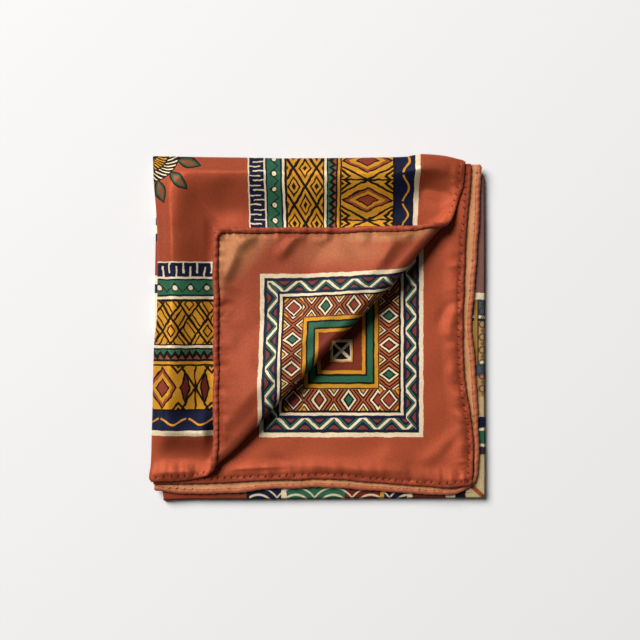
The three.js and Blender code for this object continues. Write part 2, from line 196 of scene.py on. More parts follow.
def follow(rows, at):
    """A smooth curve through rows of (place, value)."""
    places, values = np.array(rows, float).T
    last = len(places) - 1
    index = np.arange(last + 1)
    after = np.minimum(index + 1, last)
    before = np.maximum(index - 1, 0)
    slope = (values[after] - values[before]) / (places[after] - places[before])
    at = np.clip(at, places[0], places[last])
    i = np.clip(np.searchsorted(places, at) - 1, 0, last - 1)
    width = places[i + 1] - places[i]
    f = (at - places[i]) / width
    start = values[i] * (1 + 2 * f) + slope[i] * width * f
    end = values[i + 1] * (3 - 2 * f) - slope[i + 1] * width * (1 - f)
    return start * (1 - f) ** 2 + end * f ** 2


class Leaf:
    """One leaf of the folded square: two folded sides and two hemmed sides."""

    def __init__(self, fold_in, right_rows, bottom_rows):
        self.fold_in = fold_in
        self.right_rows = right_rows
        self.bottom_rows = bottom_rows

    def left(self, y):
        return follow(TOP_LEAF_LEFT, y) + self.fold_in

    def top(self, x):
        return follow(TOP_LEAF_TOP, x) - self.fold_in

    def right(self, y):
        return follow(self.right_rows, y)

    def bottom(self, x):
        return follow(self.bottom_rows, x)

    def corner(self):
        x = self.right(0.0)
        y = self.bottom(0.0)
        for _ in range(12):
            x, y = self.right(y), self.bottom(x)
        return x, y

    def from_hems(self, x, y):
        return np.minimum(self.right(y) - x, y - self.bottom(x))


TOP_LEAF = Leaf(-LIP_SPARE, TOP_LEAF_RIGHT, TOP_LEAF_BOTTOM)
SECOND_LEAF = Leaf(UNDER_LIP_SECOND, SECOND_LEAF_RIGHT, SECOND_LEAF_BOTTOM)
THIRD_LEAF = Leaf(UNDER_LIP_THIRD, THIRD_LEAF_RIGHT, THIRD_LEAF_BOTTOM)


def hem_lift(leaf, x, y):
    inside = leaf.from_hems(x, y) - HEM_WIDTH
    return HEM_LIFT * (1 - smooth(inside, 0, HEM_LIFT_REACH))


def third_under(x, y):
    return np.full(np.shape(x), STACK_HEIGHT + GAP)


def second_under(x, y):
    away = np.hypot(x - CORNER_RIDGE[0], y - CORNER_RIDGE[1])
    corner_lift = HEM_LIFT * (1 - smooth(away, CORNER_RIDGE_FULL, CORNER_RIDGE_REACH))
    return third_under(x, y) + PITCH + hem_lift(SECOND_LEAF, x, y) + corner_lift


def top_under(x, y):
    return second_under(x, y) + PITCH + hem_lift(TOP_LEAF, x, y)


# Where each stretch of the turned-back corner ends: cloth length, place across and height
Section = namedtuple("Section", "rise turn risen turned sloped landed start")


def roll_section(scale):
    """The turned-back corner's cross section where the roll has this size."""
    rise = RISE_RADIUS * scale
    turn = TURN_RADIUS * scale
    risen = (rise * RISE_TURN, rise * math.sin(RISE_TURN), rise * (1 - math.cos(RISE_TURN)))
    turned = (
        risen[0] + turn * (math.pi + LANDING_SLOPE - RISE_TURN),
        risen[1] - turn * (math.sin(LANDING_SLOPE) + math.sin(RISE_TURN)),
        risen[2] + turn * (math.cos(RISE_TURN) + math.cos(LANDING_SLOPE)),
    )
    landing_drop = LANDING_RADIUS * (1 - math.cos(LANDING_SLOPE))
    slope = (turned[2] - landing_drop - FLAP_HEIGHT) / math.sin(LANDING_SLOPE)
    sloped = (
        turned[0] + slope,
        turned[1] - slope * math.cos(LANDING_SLOPE),
        turned[2] - slope * math.sin(LANDING_SLOPE),
    )
    landed = (
        sloped[0] + LANDING_RADIUS * LANDING_SLOPE,
        sloped[1] - LANDING_RADIUS * math.sin(LANDING_SLOPE),
    )
    start = CREASE_ACROSS - (landed[0] + landed[1]) / 2
    return Section(rise, turn, risen, turned, sloped, landed, start)


def along_section(section, length):
    """Place across the crease and height of cloth at a length past the roll's start."""
    rise, turn, risen, turned, sloped, landed, _ = section
    first = np.clip(length / rise, 0, RISE_TURN)
    second = RISE_TURN + (length - risen[0]) / turn
    down = length - turned[0]
    last = LANDING_SLOPE - (length - sloped[0]) / LANDING_RADIUS
    stretches = [length <= 0, length <= risen[0], length <= turned[0], length <= sloped[0],
                 length <= landed[0]]
    across = np.select(stretches, [
        length,
        rise * np.sin(first),
        risen[1] + turn * (np.sin(second) - math.sin(RISE_TURN)),
        turned[1] - down * math.cos(LANDING_SLOPE),
        sloped[1] - LANDING_RADIUS * (math.sin(LANDING_SLOPE) - np.sin(last)),
    ], landed[1] - (length - landed[0]))
    height = np.select(stretches, [
        np.zeros_like(length),
        rise * (1 - np.cos(first)),
        risen[2] + turn * (math.cos(RISE_TURN) - np.cos(second)),
        turned[2] - down * math.sin(LANDING_SLOPE),
        sloped[2] - LANDING_RADIUS * (np.cos(last) - math.cos(LANDING_SLOPE)),
    ], FLAP_HEIGHT)
    return across, height


def over_lip(inside):
    """How far the cloth moves in and how far it drops where it bends over a folded edge."""
    angle = np.maximum((LIP_RADIUS - inside) / LIP_RADIUS, 0)
    return LIP_RADIUS * (angle - np.sin(angle)), LIP_RADIUS * (1 - np.cos(angle))


def top_leaf_face(x, y):
    """The top leaf's lower face, from a place on the leaf laid out flat."""
    side_in, side_drop = over_lip(x - (follow(TOP_LEAF_LEFT, y) + WALL))
    end_in, end_drop = over_lip(follow(TOP_LEAF_TOP, x) - WALL - y)
    full = LIP_RADIUS * (1 - math.cos(LIP_TURN))
    drop = full * (1 - (1 - side_drop / full) * (1 - end_drop / full))
    flat_x = x + side_in
    flat_y = y - end_in
    across = (flat_x - flat_y) / math.sqrt(2)
    along = (flat_x + flat_y) / math.sqrt(2)
    section = roll_section(follow(ROLL_SIZE, along))
    past = across - section.start
    folded, height = along_section(section, past)
    # The roll sinks between the flat leaf before it and the landed flap after it.
    floor = FLAP_HEIGHT * smooth(past, section.risen[0], section.turned[0])
    height = height - (1 - follow(ROLL_HEIGHT, along)) * (height - floor)
    drawn = smooth(past, *PULL_START) * (1 - smooth(past, *PULL_END))
    placed = section.start + folded - drawn * follow(ROLL_PULL, along)
    px = (along + placed) / math.sqrt(2)
    py = (along - placed) / math.sqrt(2)
    return np.stack([px, py, top_under(px, py) + height - drop], -1)


def past_crease(x, y):
    """How far a place on the flat top leaf lies past the roll's start, and the section there."""
    section = roll_section(follow(ROLL_SIZE, (x + y) / math.sqrt(2)))
    return (x - y) / math.sqrt(2) - section.start, section


def run_lengths(points):
    """Length along a line of points, from its start to each of them."""
    return np.concatenate([[0], np.cumsum(np.linalg.norm(np.diff(points, axis=0), axis=1))])


def at_lengths(rows, lengths, places):
    """Rows of (x, y) at some places along a line whose points lie at these lengths."""
    return np.stack([np.interp(places, lengths, rows[:, k]) for k in (0, 1)], -1)


def ridge(x, y, start, end, width, height, bend=0.0):
    """A soft ridge, or a trough where height is negative, along a line that fades at its ends."""
    run_x = end[0] - start[0]
    run_y = end[1] - start[1]
    length = math.hypot(run_x, run_y)
    share = ((x - start[0]) * run_x + (y - start[1]) * run_y) / length ** 2
    off = ((x - start[0]) * run_y - (y - start[1]) * run_x) / length
    off = off - bend * 4 * share * (1 - share)
    fade = smooth(share, -0.1, 0.3) * (1 - smooth(share, 0.7, 1.1))
    return height * fade * np.exp(-((off / width) ** 2))


def creased(surface, x, y, creases):
    """A surface with every crease of a list added."""
    for start, end, width, height, bend in creases:
        surface = surface + ridge(x, y, start, end, width, height, bend)
    return surface


def uneven(x, y, size, seed):
    """A gentle uneven swell between about -1 and 1."""
    total = np.zeros(np.shape(x))
    turns = np.random.default_rng(seed).uniform(0, 2 * math.pi, (7, 2))
    for k, (turn, phase) in enumerate(turns):
        reach = size * (0.7 + 0.2 * k)
        total += np.sin((x * math.cos(turn) + y * math.sin(turn)) * 2 * math.pi / reach + phase)
    return total / 4


def puckers(leaf, x, y, seed, reach=6.5):
    """Small ripples that the hem's stitches pull into the cloth beside them."""
    from_right = leaf.right(y) - x
    from_bottom = y - leaf.bottom(x)
    total = np.zeros(np.shape(x))
    for inside, run, shift in ((from_right, y, 0.0), (from_bottom, x, 31.0)):
        wave = uneven(run + shift, inside * 0.25, 9, seed)
        wave = wave + 0.5 * uneven(run, inside * 0.2, 5, seed + 1)
        total += wave * np.exp(-((inside - HEM_WIDTH) / reach) ** 2) * smooth(inside, 0, 3)
    return total


def hemmed_edge(leaf, across, up):
    """Points along a leaf's two hemmed sides, and the way in from each."""
    corner_x, corner_y = leaf.corner()
    start_x = leaf.left(leaf.bottom(leaf.left(corner_y)))
    end_y = leaf.top(leaf.right(leaf.top(corner_x)))
    x = start_x + across * (corner_x - start_x)
    y = corner_y + up[1:] * (end_y - corner_y)
    outer = np.concatenate([np.stack([x, leaf.bottom(x)], -1), np.stack([leaf.right(y), y], -1)])
    run = np.diff(outer, axis=0)
    run /= np.linalg.norm(run, axis=1, keepdims=True)
    way_in = np.stack([-run[:, 1], run[:, 0]], -1)
    before = np.concatenate([way_in[:1], way_in])
    after = np.concatenate([way_in, way_in[-1:]])
    inward = before + after
    inward /= np.linalg.norm(inward, axis=1, keepdims=True)
    inward /= np.sum(inward * before, axis=1, keepdims=True)
    return outer, inward


def stitch_spots(leaf, seed, inset):
    """The hand stitches of a rolled hem: each one's place, way in, lean and tightness."""
    rng = np.random.default_rng(seed)
    even = np.linspace(0, 1, 451)
    outer, inward = hemmed_edge(leaf, even, even)
    length = run_lengths(outer)
    places = np.cumsum(rng.uniform(*STITCH_SPACING, MOST_STITCHES))
    places = places[places < length[-1] - LAST_STITCH]
    at = at_lengths(outer, length, places)
    way = at_lengths(inward, length, places)
    way /= np.linalg.norm(way, axis=1, keepdims=True)
    depth_in = inset + rng.uniform(*STITCH_DEPTH, len(places))
    lean = rng.uniform(*STITCH_LEAN, len(places))
    tightness = rng.uniform(*STITCH_TIGHTNESS, len(places))
    return at + way * depth_in[:, None], way, lean, tightness


def split_spots(spots):
    """The top leaf's stitches: those on the turned-back corner, then those on its printed side."""
    at = spots[0]
    flat = past_crease(at[:, 0], at[:, 1])[0] < PRINT_STITCHES_END
    return [rows[~flat] for rows in spots], [rows[flat] for rows in spots]


def dents(spots, x, y, depth):
    """How far the stitches pull the cloth down around them."""
    total = np.zeros(np.shape(x))
    for spot, way, _, tightness in zip(*spots):
        off_x = x - spot[0]
        off_y = y - spot[1]
        inward = off_x * way[0] + off_y * way[1]
        along = off_x * way[1] - off_y * way[0]
        total += tightness * np.exp(-(inward / DENT_DEEP) ** 2 - (along / DENT_WIDE) ** 2)
    return depth * total


# Creases seen on the top leaf's flat part: start, end, width, height and bend
TOP_LEAF_CREASES = [
    ((-100, 66), (-92, 96), 9, 0.9, 2),
    ((-108, -69), (-62, -69), 9.5, 5.4, 0),
    ((-106, -97), (-72, -96), 7.0, 0.9, 0),
    ((-60, 100), (-56, 72), 8, -0.7, 2),
    ((-98, -44), (-97, 22), 7, 0.8, 2),
    ((60, 110), (92, 104), 7, 3.2, 0),
    ((64, 95), (92, 87), 6, -2.0, 2),
    ((-38, 108), (0, 98), 9, -0.9, 0),
    ((10, 78), (54, 81), 6, 0.9, 0),
    ((-88, 10), (-76, -34), 7, -0.9, 2),
]

# Creases on the turned-back corner, in (from its left hem, from its top hem)
FLAP_CREASES = [
    ((29, -3), (14, 15), 4.4, 2.5, 1.5),
    ((16, 13), (4, 38), 4.2, 2.3, 1.5),
    ((61, -3), (43, 21), 3.8, 2.2, 0),
    ((92, 15), (64, 36), 9.0, 1.6, 0),
    ((76, 2), (70, 12), 3.4, 0.9, 0),
    ((2, 60), (12, 49), 2.8, -1.3, 0),
    ((14, 40), (12, 62), 6.0, -0.9, 2),
    ((13, 70), (12, 100), 5.0, 1.2, 0),
    ((26, 66), (22, 132), 7.5, 1.2, -2),
    ((7, 100), (5, 132), 4.0, -0.9, 1),
    ((93, 0), (96, 9), 2.6, -0.9, 0),
    ((104, 4), (98, 14), 3.0, 0.8, 0),
    ((122, 4), (113, 30), 5.0, 1.8, 0),
    ((4, 136), (24, 146), 3.6, 1.4, 0),
    ((30, 96), (42, 84), 8.0, -0.8, 0),
]

# Creases on the second leaf where it shows
SECOND_LEAF_CREASES = [
    ((84, -8), (94, 16), 5.0, 0.7, 0),
    ((78, 2), (90, 20), 3.5, -0.4, 0),
    ((88, -34), (96, -12), 4.0, 0.7, 0),
    ((66, -90), (92, -70), 5.0, 0.7, 2),
    ((-34, -84), (-8, -97), 4.0, -0.5, 0),
    ((-30, -95), (60, -97), 9.0, 1.3, 0),
    ((-66, -93.8), (-16, -91), 1.5, 0.5, 0),
    ((96, -90), (96, -40), 7.0, 0.9, 0),
    ((82, -84), (99, -68), 3.5, -0.5, 0),
    ((40, -80), (60, -95), 6.0, 0.5, 0),
    ((80, 40), (92, 80), 6.0, 0.7, 0),
]

# Where the turned-back corner's left and top hems lie
FLAP_SHIFT = math.sqrt(2) * CREASE_ACROSS
FLAP_LEFT = -100.1 + FLAP_SHIFT
FLAP_TOP = 97.6 - FLAP_SHIFT

# The stitches of each leaf, and how far past the roll's start the top leaf's count as printed
PRINT_STITCHES_END = 10
TOP_STITCHES = stitch_spots(TOP_LEAF, 7, HEM_WIDTH)
SECOND_STITCHES = stitch_spots(SECOND_LEAF, 8, 3.4)
THIRD_STITCHES = stitch_spots(THIRD_LEAF, 9, 2.6)

# The leaves' drape: heights, the size of the uneven swells, and the stretches (from, to)
# over which a form comes or goes. All but the last four are the top leaf's.
FOLD_PUFF = 7.4
FOLD_CORNER = 30
FOLD_RISE = (1, 12)
FOLD_FALL = (10, 45)
VALLEY = (-37, -11)
VALLEY_KEEPS = 0.2
FLAT_ENDS = (-4, 9)
FLAP_BEGINS = (-4, 12)
UNDER_FLAP = (-7, 2)
BELLY = 2.2
BELLY_ENDS = (12, 42)
SWELL = 0.7
SWELL_SIZE = 40
DEEPEST = -0.45
SECOND_SHOWN = (-8, 10)
SECOND_SWELL = 0.35
SECOND_DEEPEST = -0.3
THIRD_SHOWN = (8, 16)


def top_leaf_relief(x, y):
    """Height of the drape over the top leaf's plain form, towards its printed side."""
    past, section = past_crease(x, y)
    beyond = past - section.turned[0]
    flat_share = 1 - smooth(past, *FLAT_ENDS)
    flap_share = smooth(beyond, *FLAP_BEGINS)
    # The layers stand fuller along the folded edges and sink before the roll.
    short_left = FOLD_CORNER - (x - TOP_LEAF.left(y))
    short_top = FOLD_CORNER - (TOP_LEAF.top(x) - y)
    rounded = np.hypot(np.maximum(short_left, 0), np.maximum(short_top, 0))
    from_folds = FOLD_CORNER - rounded - np.minimum(np.maximum(short_left, short_top), 0)
    inner = smooth(from_folds, *FOLD_RISE)
    full = 1 - smooth((x - y) / math.sqrt(2), *VALLEY)
    base = FOLD_PUFF * inner * (1 - smooth(from_folds, *FOLD_FALL))
    base = base * (VALLEY_KEEPS + (1 - VALLEY_KEEPS) * full)
    base = base + SWELL * uneven(x, y, SWELL_SIZE, 3) * inner
    base = creased(base, x, y, TOP_LEAF_CREASES)
    base = np.maximum(base, DEEPEST) * smooth(TOP_LEAF.from_hems(x, y), 0, 7)
    # Under the turned-back corner the leaf lies plain.
    base = base * (1 - smooth(np.minimum(x - FLAP_LEFT, FLAP_TOP - y), *UNDER_FLAP))
    # On the flap the visible side is the reverse, so its creases go the other way.
    from_left = y - TOP_LEAF.bottom(x)
    from_top = TOP_LEAF.right(y) - x
    belly = BELLY * flap_share * (1 - smooth(beyond, *BELLY_ENDS))
    flap = creased(SWELL + 0.6 * uneven(x, y, 38, 8) + belly, from_left, from_top, FLAP_CREASES)
    flap = np.maximum(flap, -0.4) * smooth(np.minimum(from_left, from_top), 3, 8)
    small = 0.6 * puckers(TOP_LEAF, x, y, 5) - dents(TOP_STITCHES, x, y, 0.5)
    return base * flat_share - flap * flap_share + small * (flat_share - flap_share)


def second_leaf_relief(x, y):
    from_crease = (x - y) / math.sqrt(2) - CREASE_ACROSS
    shown = smooth(from_crease, *SECOND_SHOWN)
    swell = SECOND_SWELL * (1 + uneven(x, y, SWELL_SIZE, 13))
    swell = creased(swell, x, y, SECOND_LEAF_CREASES)
    swell = np.maximum(swell, SECOND_DEEPEST) * smooth(SECOND_LEAF.from_hems(x, y), 2, 10)
    swell = swell + 0.5 * puckers(SECOND_LEAF, x, y, 15) - dents(SECOND_STITCHES, x, y, 0.6)
    return shown * swell


def third_leaf_relief(x, y):
    edge = 1 - smooth(THIRD_LEAF.from_hems(x, y), *THIRD_SHOWN)
    return 0.25 * puckers(THIRD_LEAF, x, y, 25, 5) * edge


def top_leaf_point(x, y, height):
    along_x = top_leaf_face(x + NORMAL_STEP, y) - top_leaf_face(x - NORMAL_STEP, y)
    along_y = top_leaf_face(x, y + NORMAL_STEP) - top_leaf_face(x, y - NORMAL_STEP)
    normal = np.cross(along_x, along_y)
    normal /= np.linalg.norm(normal, axis=-1, keepdims=True)
    return top_leaf_face(x, y) + normal * (height + top_leaf_relief(x, y))[..., None]


def second_leaf_point(x, y, height):
    return np.stack([x, y, second_under(x, y) + height + second_leaf_relief(x, y)], -1)


def third_leaf_point(x, y, height):
    return np.stack([x, y, third_under(x, y) + height + third_leaf_relief(x, y)], -1)


def leaf_places(leaf, across, up, inset):
    """Places on a leaf in rows from the bottom up, spread between its four sides."""
    outer, inward = hemmed_edge(leaf, across, up)
    hemmed = outer + inward * inset
    bottom = hemmed[: len(across)]
    right = hemmed[len(across) - 1:]
    start = bottom[0]
    corner = right[0]
    end = right[-1]
    top_left_y = leaf.top(leaf.left(end[1]))
    top_left = np.array([leaf.left(top_left_y), top_left_y])
    left_y = start[1] + up * (top_left[1] - start[1])
    left = np.stack([leaf.left(left_y) + (1 - up) * (start[0] - leaf.left(start[1])), left_y], -1)
    top_x = top_left[0] + across * (end[0] - top_left[0])
    top = np.stack([top_x, leaf.top(top_x) + across * (end[1] - leaf.top(end[0]))], -1)
    a = across[None, :, None]
    b = up[:, None, None]
    sides = bottom[None] * (1 - b) + top[None] * b + left[:, None] * (1 - a) + right[:, None] * a
    corners = (start * (1 - a) + corner * a) * (1 - b) + (top_left * (1 - a) + end * a) * b
    places = sides - corners
    return places[..., 0], places[..., 1]


def shares(length, coarse, fine, reach):
    """Shares of a length in coarse steps, then fine steps over the last reach."""
    first = np.linspace(0, length - reach, max(2, round((length - reach) / coarse)), endpoint=False)
    second = np.linspace(length - reach, length, round(reach / fine) + 1)
    return np.concatenate([first, second]) / length


def new_object(name, points, faces, layers, material):
    """A mesh object in metres, with named UV maps given by vertex."""
    mesh = bpy.data.meshes.new(name)
    mesh.from_pydata((np.asarray(points) * MM).tolist(), [], faces)
    mesh.polygons.foreach_set("use_smooth", np.ones(len(mesh.polygons), bool))
    loops = np.empty(len(mesh.loops), np.int32)
    mesh.loops.foreach_get("vertex_index", loops)
    for layer, values in layers.items():
        uv = mesh.uv_layers.new(name=layer)
        uv.data.foreach_set("uv", np.asarray(values, np.float32)[loops].ravel())
    mesh.materials.append(material)
    mesh.update()
    piece = bpy.data.objects.new(name, mesh)
    bpy.context.scene.collection.objects.link(piece)
    return piece


def grid_faces(rows, columns, offset, flip):
    j, i = np.meshgrid(np.arange(rows - 1), np.arange(columns - 1), indexing="ij")
    here = (j * columns + i + offset).ravel()
    corners = [here, here + 1, here + columns + 1, here + columns]
    if flip:
        corners.reverse()
    return np.stack(corners, -1)


def rim_faces(rows, columns):
    """Faces around a shell's edge, between its lower face (first) and its upper face."""
    under = np.arange(rows * columns).reshape(rows, columns)
    ring = np.concatenate([under[0, :-1], under[:-1, -1], under[-1, :0:-1], under[:0:-1, 0]])
    after = np.roll(ring, -1)
    size = rows * columns
    return np.stack([ring, after, after + size, ring + size], -1)


def cloth_shell(name, leaf, point_at, across, inset, print_from, material):
    """A thin closed shell of silk with its print places in UV maps."""
    # The fine steps lie along the hems: last on the way across and first on the way up.
    x, y = leaf_places(leaf, across, 1 - across[::-1], inset)
    rows, columns = x.shape
    drop = OVER_HEM_DROP * (1 - smooth(leaf.from_hems(x, y), OVER_HEM, OVER_HEM + OVER_HEM_BEND))
    under = point_at(x, y, SILK_UNDER - drop).reshape(-1, 3)
    over = point_at(x, y, SILK_OVER - drop).reshape(-1, 3)
    faces = np.concatenate([
        grid_faces(rows, columns, 0, True),
        grid_faces(rows, columns, rows * columns, False),
        rim_faces(rows, columns),
    ])
    cloth = np.stack([print_from[0] - x, y - print_from[1]], -1).reshape(-1, 2)
    band = band_places(cloth[:, 0], cloth[:, 1])
    side = np.zeros((2, rows * columns, 2))
    side[0, :, 0] = 1
    side[:, :, 1] = cloth[:, 0] < cloth[:, 1]
    share_x, share_y = np.meshgrid(np.linspace(0.01, 0.49, columns), np.linspace(0.01, 0.99, rows))
    sheet_place = np.stack([share_x, share_y], -1).reshape(-1, 2)
    layers = {
        "OFBake": np.concatenate([sheet_place + (0.5, 0), sheet_place]),
        "Cloth": np.concatenate([cloth, cloth]),
        "Band": np.concatenate([band, band]),
        "Side": side.reshape(-1, 2),
    }
    return new_object(name, np.concatenate([under, over]), faces.tolist(), layers, material)


# The print's bands: places across the upright band, and the same lines across the level band
UPRIGHT_LINES = (30.6, 33.7, 45.6, 47.8, 82.3, 91.9, 93.6, 118.2, 121.2, 132.3, 133.3, 142.8, 144.1)
LEVEL_LINES = (29.1, 32.5, 44.9, 46.6, 75.4, 87.3, 89.0, 117.9, 121.3, 133.1, 134.5, 143.4, 144.6)
UPRIGHT_LEAN = ((30, -0.047), (46, -0.01), (85, -0.015), (118, 0.03), (144, 0.025))


def band_places(a, b):
    """Place across the nearer printed band and along it, for places (a, b) from the two hems."""
    lean_at, lean = np.array(UPRIGHT_LEAN).T
    leaned = a - (b - 195) * np.interp(a, lean_at, lean)
    across_upright = np.interp(leaned, UPRIGHT_LINES, LEVEL_LINES)
    across_upright = across_upright + np.maximum(leaned - UPRIGHT_LINES[-1], 0)
    across_upright = across_upright - np.maximum(UPRIGHT_LINES[0] - leaned, 0)
    upright = a < b
    return np.stack([np.where(upright, across_upright, b), np.where(upright, b, a)], -1)


def rope_faces(rings, sides, first=0):
    """Faces of a closed rope: quads that join its rings, then a cap at each end."""
    ring, k = np.meshgrid(np.arange(rings - 1), np.arange(sides), indexing="ij")
    here = first + ring * sides + k
    beside = first + ring * sides + (k + 1) % sides
    quads = np.stack([here, here + sides, beside + sides, beside], -1).reshape(-1, 4).tolist()
    last = first + (rings - 1) * sides
    return quads + [[first + k for k in range(sides)], [last + k for k in reversed(range(sides))]]


ROPE_SIDES = 16
ROPE_STEPS = 321
ROPE_TWIST = 4.9
ROPE_LUMPS = 2.3
ROPE_SWAY = 0.35
ROPE_AT_CORNER = 0.28
ROPE_TAPER = 2.0
CORNER_ROUNDS = 14


def tube(name, leaf, point_at, middle, width, height, material, seed):
    """A rolled hem: a soft rope along the hemmed sides, pinched by its stitches."""
    even = np.linspace(0, 1, ROPE_STEPS + 1)
    outer, inward = hemmed_edge(leaf, even, even)
    # The corner's mitre is softened so that the rope turns in a small round.
    for _ in range(CORNER_ROUNDS):
        outer[1:-1] = (outer[:-2] + 2 * outer[1:-1] + outer[2:]) / 4
    length = run_lengths(outer)
    turn, run = np.meshgrid(np.arange(ROPE_SIDES) * 2 * math.pi / ROPE_SIDES, length)
    swell = 1 + 0.09 * np.sin(run * 2 * math.pi / ROPE_TWIST + turn + 1.5 * np.sin(run / 13))
    swell += 0.05 * np.sin(run * 2 * math.pi / ROPE_LUMPS + turn + seed)
    swell += 0.09 * uneven(run, turn * 2, 17, seed)
    sway = ROPE_SWAY * uneven(run, run * 0.3, 23, seed + 20)
    # It is thicker at the corner, where two hems meet, and tapers at its ends.
    swell *= 1 + ROPE_AT_CORNER * np.exp(-((run - length[ROPE_STEPS]) / ROPE_TAPER) ** 2)
    ends = np.minimum(run, length[-1] - run)
    swell *= np.sqrt(np.clip(0.15 + ends / ROPE_TAPER, 0, 1))
    inset = HEM_WIDTH / 2 + sway - (width / 2) * swell * np.cos(turn)
    x = outer[:, None, 0] + inward[:, None, 0] * inset
    y = outer[:, None, 1] + inward[:, None, 1] * inset
    points = point_at(x, y, middle + (height / 2) * swell * np.sin(turn)).reshape(-1, 3)
    faces = rope_faces(len(length), ROPE_SIDES)
    place = np.stack([run, turn * width / 2], -1).reshape(-1, 2)
    return new_object(name, points, faces, {"Rope": place}, material)


def stack_outline(steps):
    """The hidden layers' outline with each corner rounded."""
    corners = [np.array(row[:2], float) for row in STACK_OUTLINE]
    points = []
    for i, (corner, row) in enumerate(zip(corners, STACK_OUTLINE)):
        to_before = corners[i - 1] - corner
        to_after = corners[(i + 1) % len(corners)] - corner
        start = corner + to_before / np.linalg.norm(to_before) * row[2]
        end = corner + to_after / np.linalg.norm(to_after) * row[2]
        for f in np.linspace(0, 1, steps):
            points.append(start * (1 - f) ** 2 + 2 * corner * f * (1 - f) + end * f ** 2)
    return np.array(points)


def even_outline(outline, step):
    """A closed outline in even steps, and the length along it."""
    closed = np.concatenate([outline, outline[:1]])
    length = run_lengths(closed)
    places = np.linspace(0, length[-1], round(length[-1] / step), endpoint=False)
    return at_lengths(closed, length, places), places


FOLD_LEVELS = 5
FOLD_ROUND_STEPS = 7
FOLD_ROUND = 0.75
FOLD_SETBACK = 0.22
STACK_STEP = 0.9


def lower_folds(material):
    """The hidden layers as one solid whose side shows each fold as a rounded edge."""
    outline, run = even_outline(stack_outline(8), STACK_STEP)
    direction = np.roll(outline, -1, axis=0) - np.roll(outline, 1, axis=0)
    direction /= np.linalg.norm(direction, axis=1, keepdims=True)
    inward = np.stack([-direction[:, 1], direction[:, 0]], -1)
    still = np.zeros_like(run)
    thick = STACK_HEIGHT / FOLD_LEVELS
    rings = []
    for level in range(FOLD_LEVELS):
        setback = 0.5 + 0.45 * uneven(run * 0.6, still, 60 + 9 * level, 40 + level)
        setback = np.maximum(setback, 0) + FOLD_SETBACK * level
        waver = 0.10 * uneven(run, still, 15, 60 + level)
        for k in range(FOLD_ROUND_STEPS):
            angle = math.pi * (k / (FOLD_ROUND_STEPS - 1) - 0.5) * 0.94
            inset = setback + FOLD_ROUND * (1 - math.cos(angle))
            z = thick * (level + 0.5 + 0.5 * math.sin(angle)) + waver * (0 < level)
            rings.append(np.column_stack([outline + inward * inset[:, None], z]))
    rings[0][:, 2] = 0
    top = rings[-1].copy()
    for inset, z in ((2.5, 0.05), (6.0, 0.06), (12.0, 0.0)):
        ring = top.copy()
        ring[:, :2] += inward * inset
        ring[:, 2] = STACK_HEIGHT + z * uneven(run, still, 12, 90)
        rings.append(ring)
    points = np.concatenate(rings)
    count = len(outline)
    faces = []
    for level in range(len(rings) - 1):
        here = np.arange(count) + level * count
        beside = np.roll(np.arange(count), -1) + level * count
        faces += np.stack([here, beside, beside + count, here + count], -1).tolist()
    under = len(points)
    over = under + 1
    points = np.concatenate([points, [[0, 0, 0], [0, 0, STACK_HEIGHT]]])
    last = (len(rings) - 1) * count
    for i in range(count):
        after = (i + 1) % count
        faces.append([under, after, i])
        faces.append([over, last + i, last + after])
    return new_object("lower_folds", points, faces, {"Plan": points[:, :2]}, material)


def add_node(tree, kind, inputs=(), **settings):
    """A shader node with its settings and its plain input values."""
    node = tree.nodes.new("ShaderNode" + kind)
    for name, value in settings.items():
        setattr(node, name, value)
    for name, value in dict(inputs).items():
        node.inputs[name].default_value = value
    return node


class Wire:
    """A node's output that can be used in sums, so that a pattern reads as a formula."""

    def __init__(self, tree, socket):
        self.tree = tree
        self.socket = socket

    def feed(self, socket, value):
        if isinstance(value, Wire):
            self.tree.links.new(value.socket, socket)
        else:
            socket.default_value = value

    def math(self, operation, *others, clamp=False):
        node = add_node(self.tree, "Math", operation=operation, use_clamp=clamp)
        for socket, value in zip(node.inputs, (self, *others)):
            self.feed(socket, value)
        return Wire(self.tree, node.outputs[0])

    def __add__(self, other):
        return self.math("ADD", other)

    def __sub__(self, other):
        return self.math("SUBTRACT", other)

    def __mul__(self, other):
        return self.math("MULTIPLY", other)

    def minus_from(self, value):
        return self.math("MULTIPLY_ADD", -1.0, value)

    def abs(self):
        return self.math("ABSOLUTE")

    def distance(self, other):
        """How far from zero a place with these two coordinates lies."""
        return (self * self + other * other).math("SQRT")

    def around(self, period, centre=0.0):
        """Distance from the nearest of the places centre, centre + period, and so on."""
        return (self - (centre - period / 2)).math("FLOORED_MODULO", period) - period / 2

    def beyond(self, edge, soft=0.3):
        """1 past an edge, 0 before it."""
        return self.math("MULTIPLY_ADD", 1 / soft, 0.5 - edge / soft, clamp=True)

    def below(self, edge, soft=0.3):
        return self.math("MULTIPLY_ADD", -1 / soft, 0.5 + edge / soft, clamp=True)

    def within(self, low, high, soft=0.3):
        return self.beyond(low, soft) * self.below(high, soft)

    def least(self, other):
        return self.math("MINIMUM", other)

    def most(self, other):
        return self.math("MAXIMUM", other)


def linear(colour):
    """An sRGB colour of 0 to 255 as Blender's linear RGBA."""
    share = [c / 255 for c in colour]
    return [c / 12.92 if c <= 0.04045 else ((c + 0.055) / 1.055) ** 2.4 for c in share] + [1.0]


def paint(base, *layers):
    """Lays colours over a base, each a pair of a colour and a mask that is 1 where it shows."""
    for colour, mask in layers:
        node = add_node(mask.tree, "Mix", data_type="RGBA")
        mask.feed(node.inputs[0], mask)
        for socket, value in ((node.inputs[6], base), (node.inputs[7], colour)):
            mask.feed(socket, value if isinstance(value, Wire) else linear(value))
        base = Wire(mask.tree, node.outputs[2])
    return base


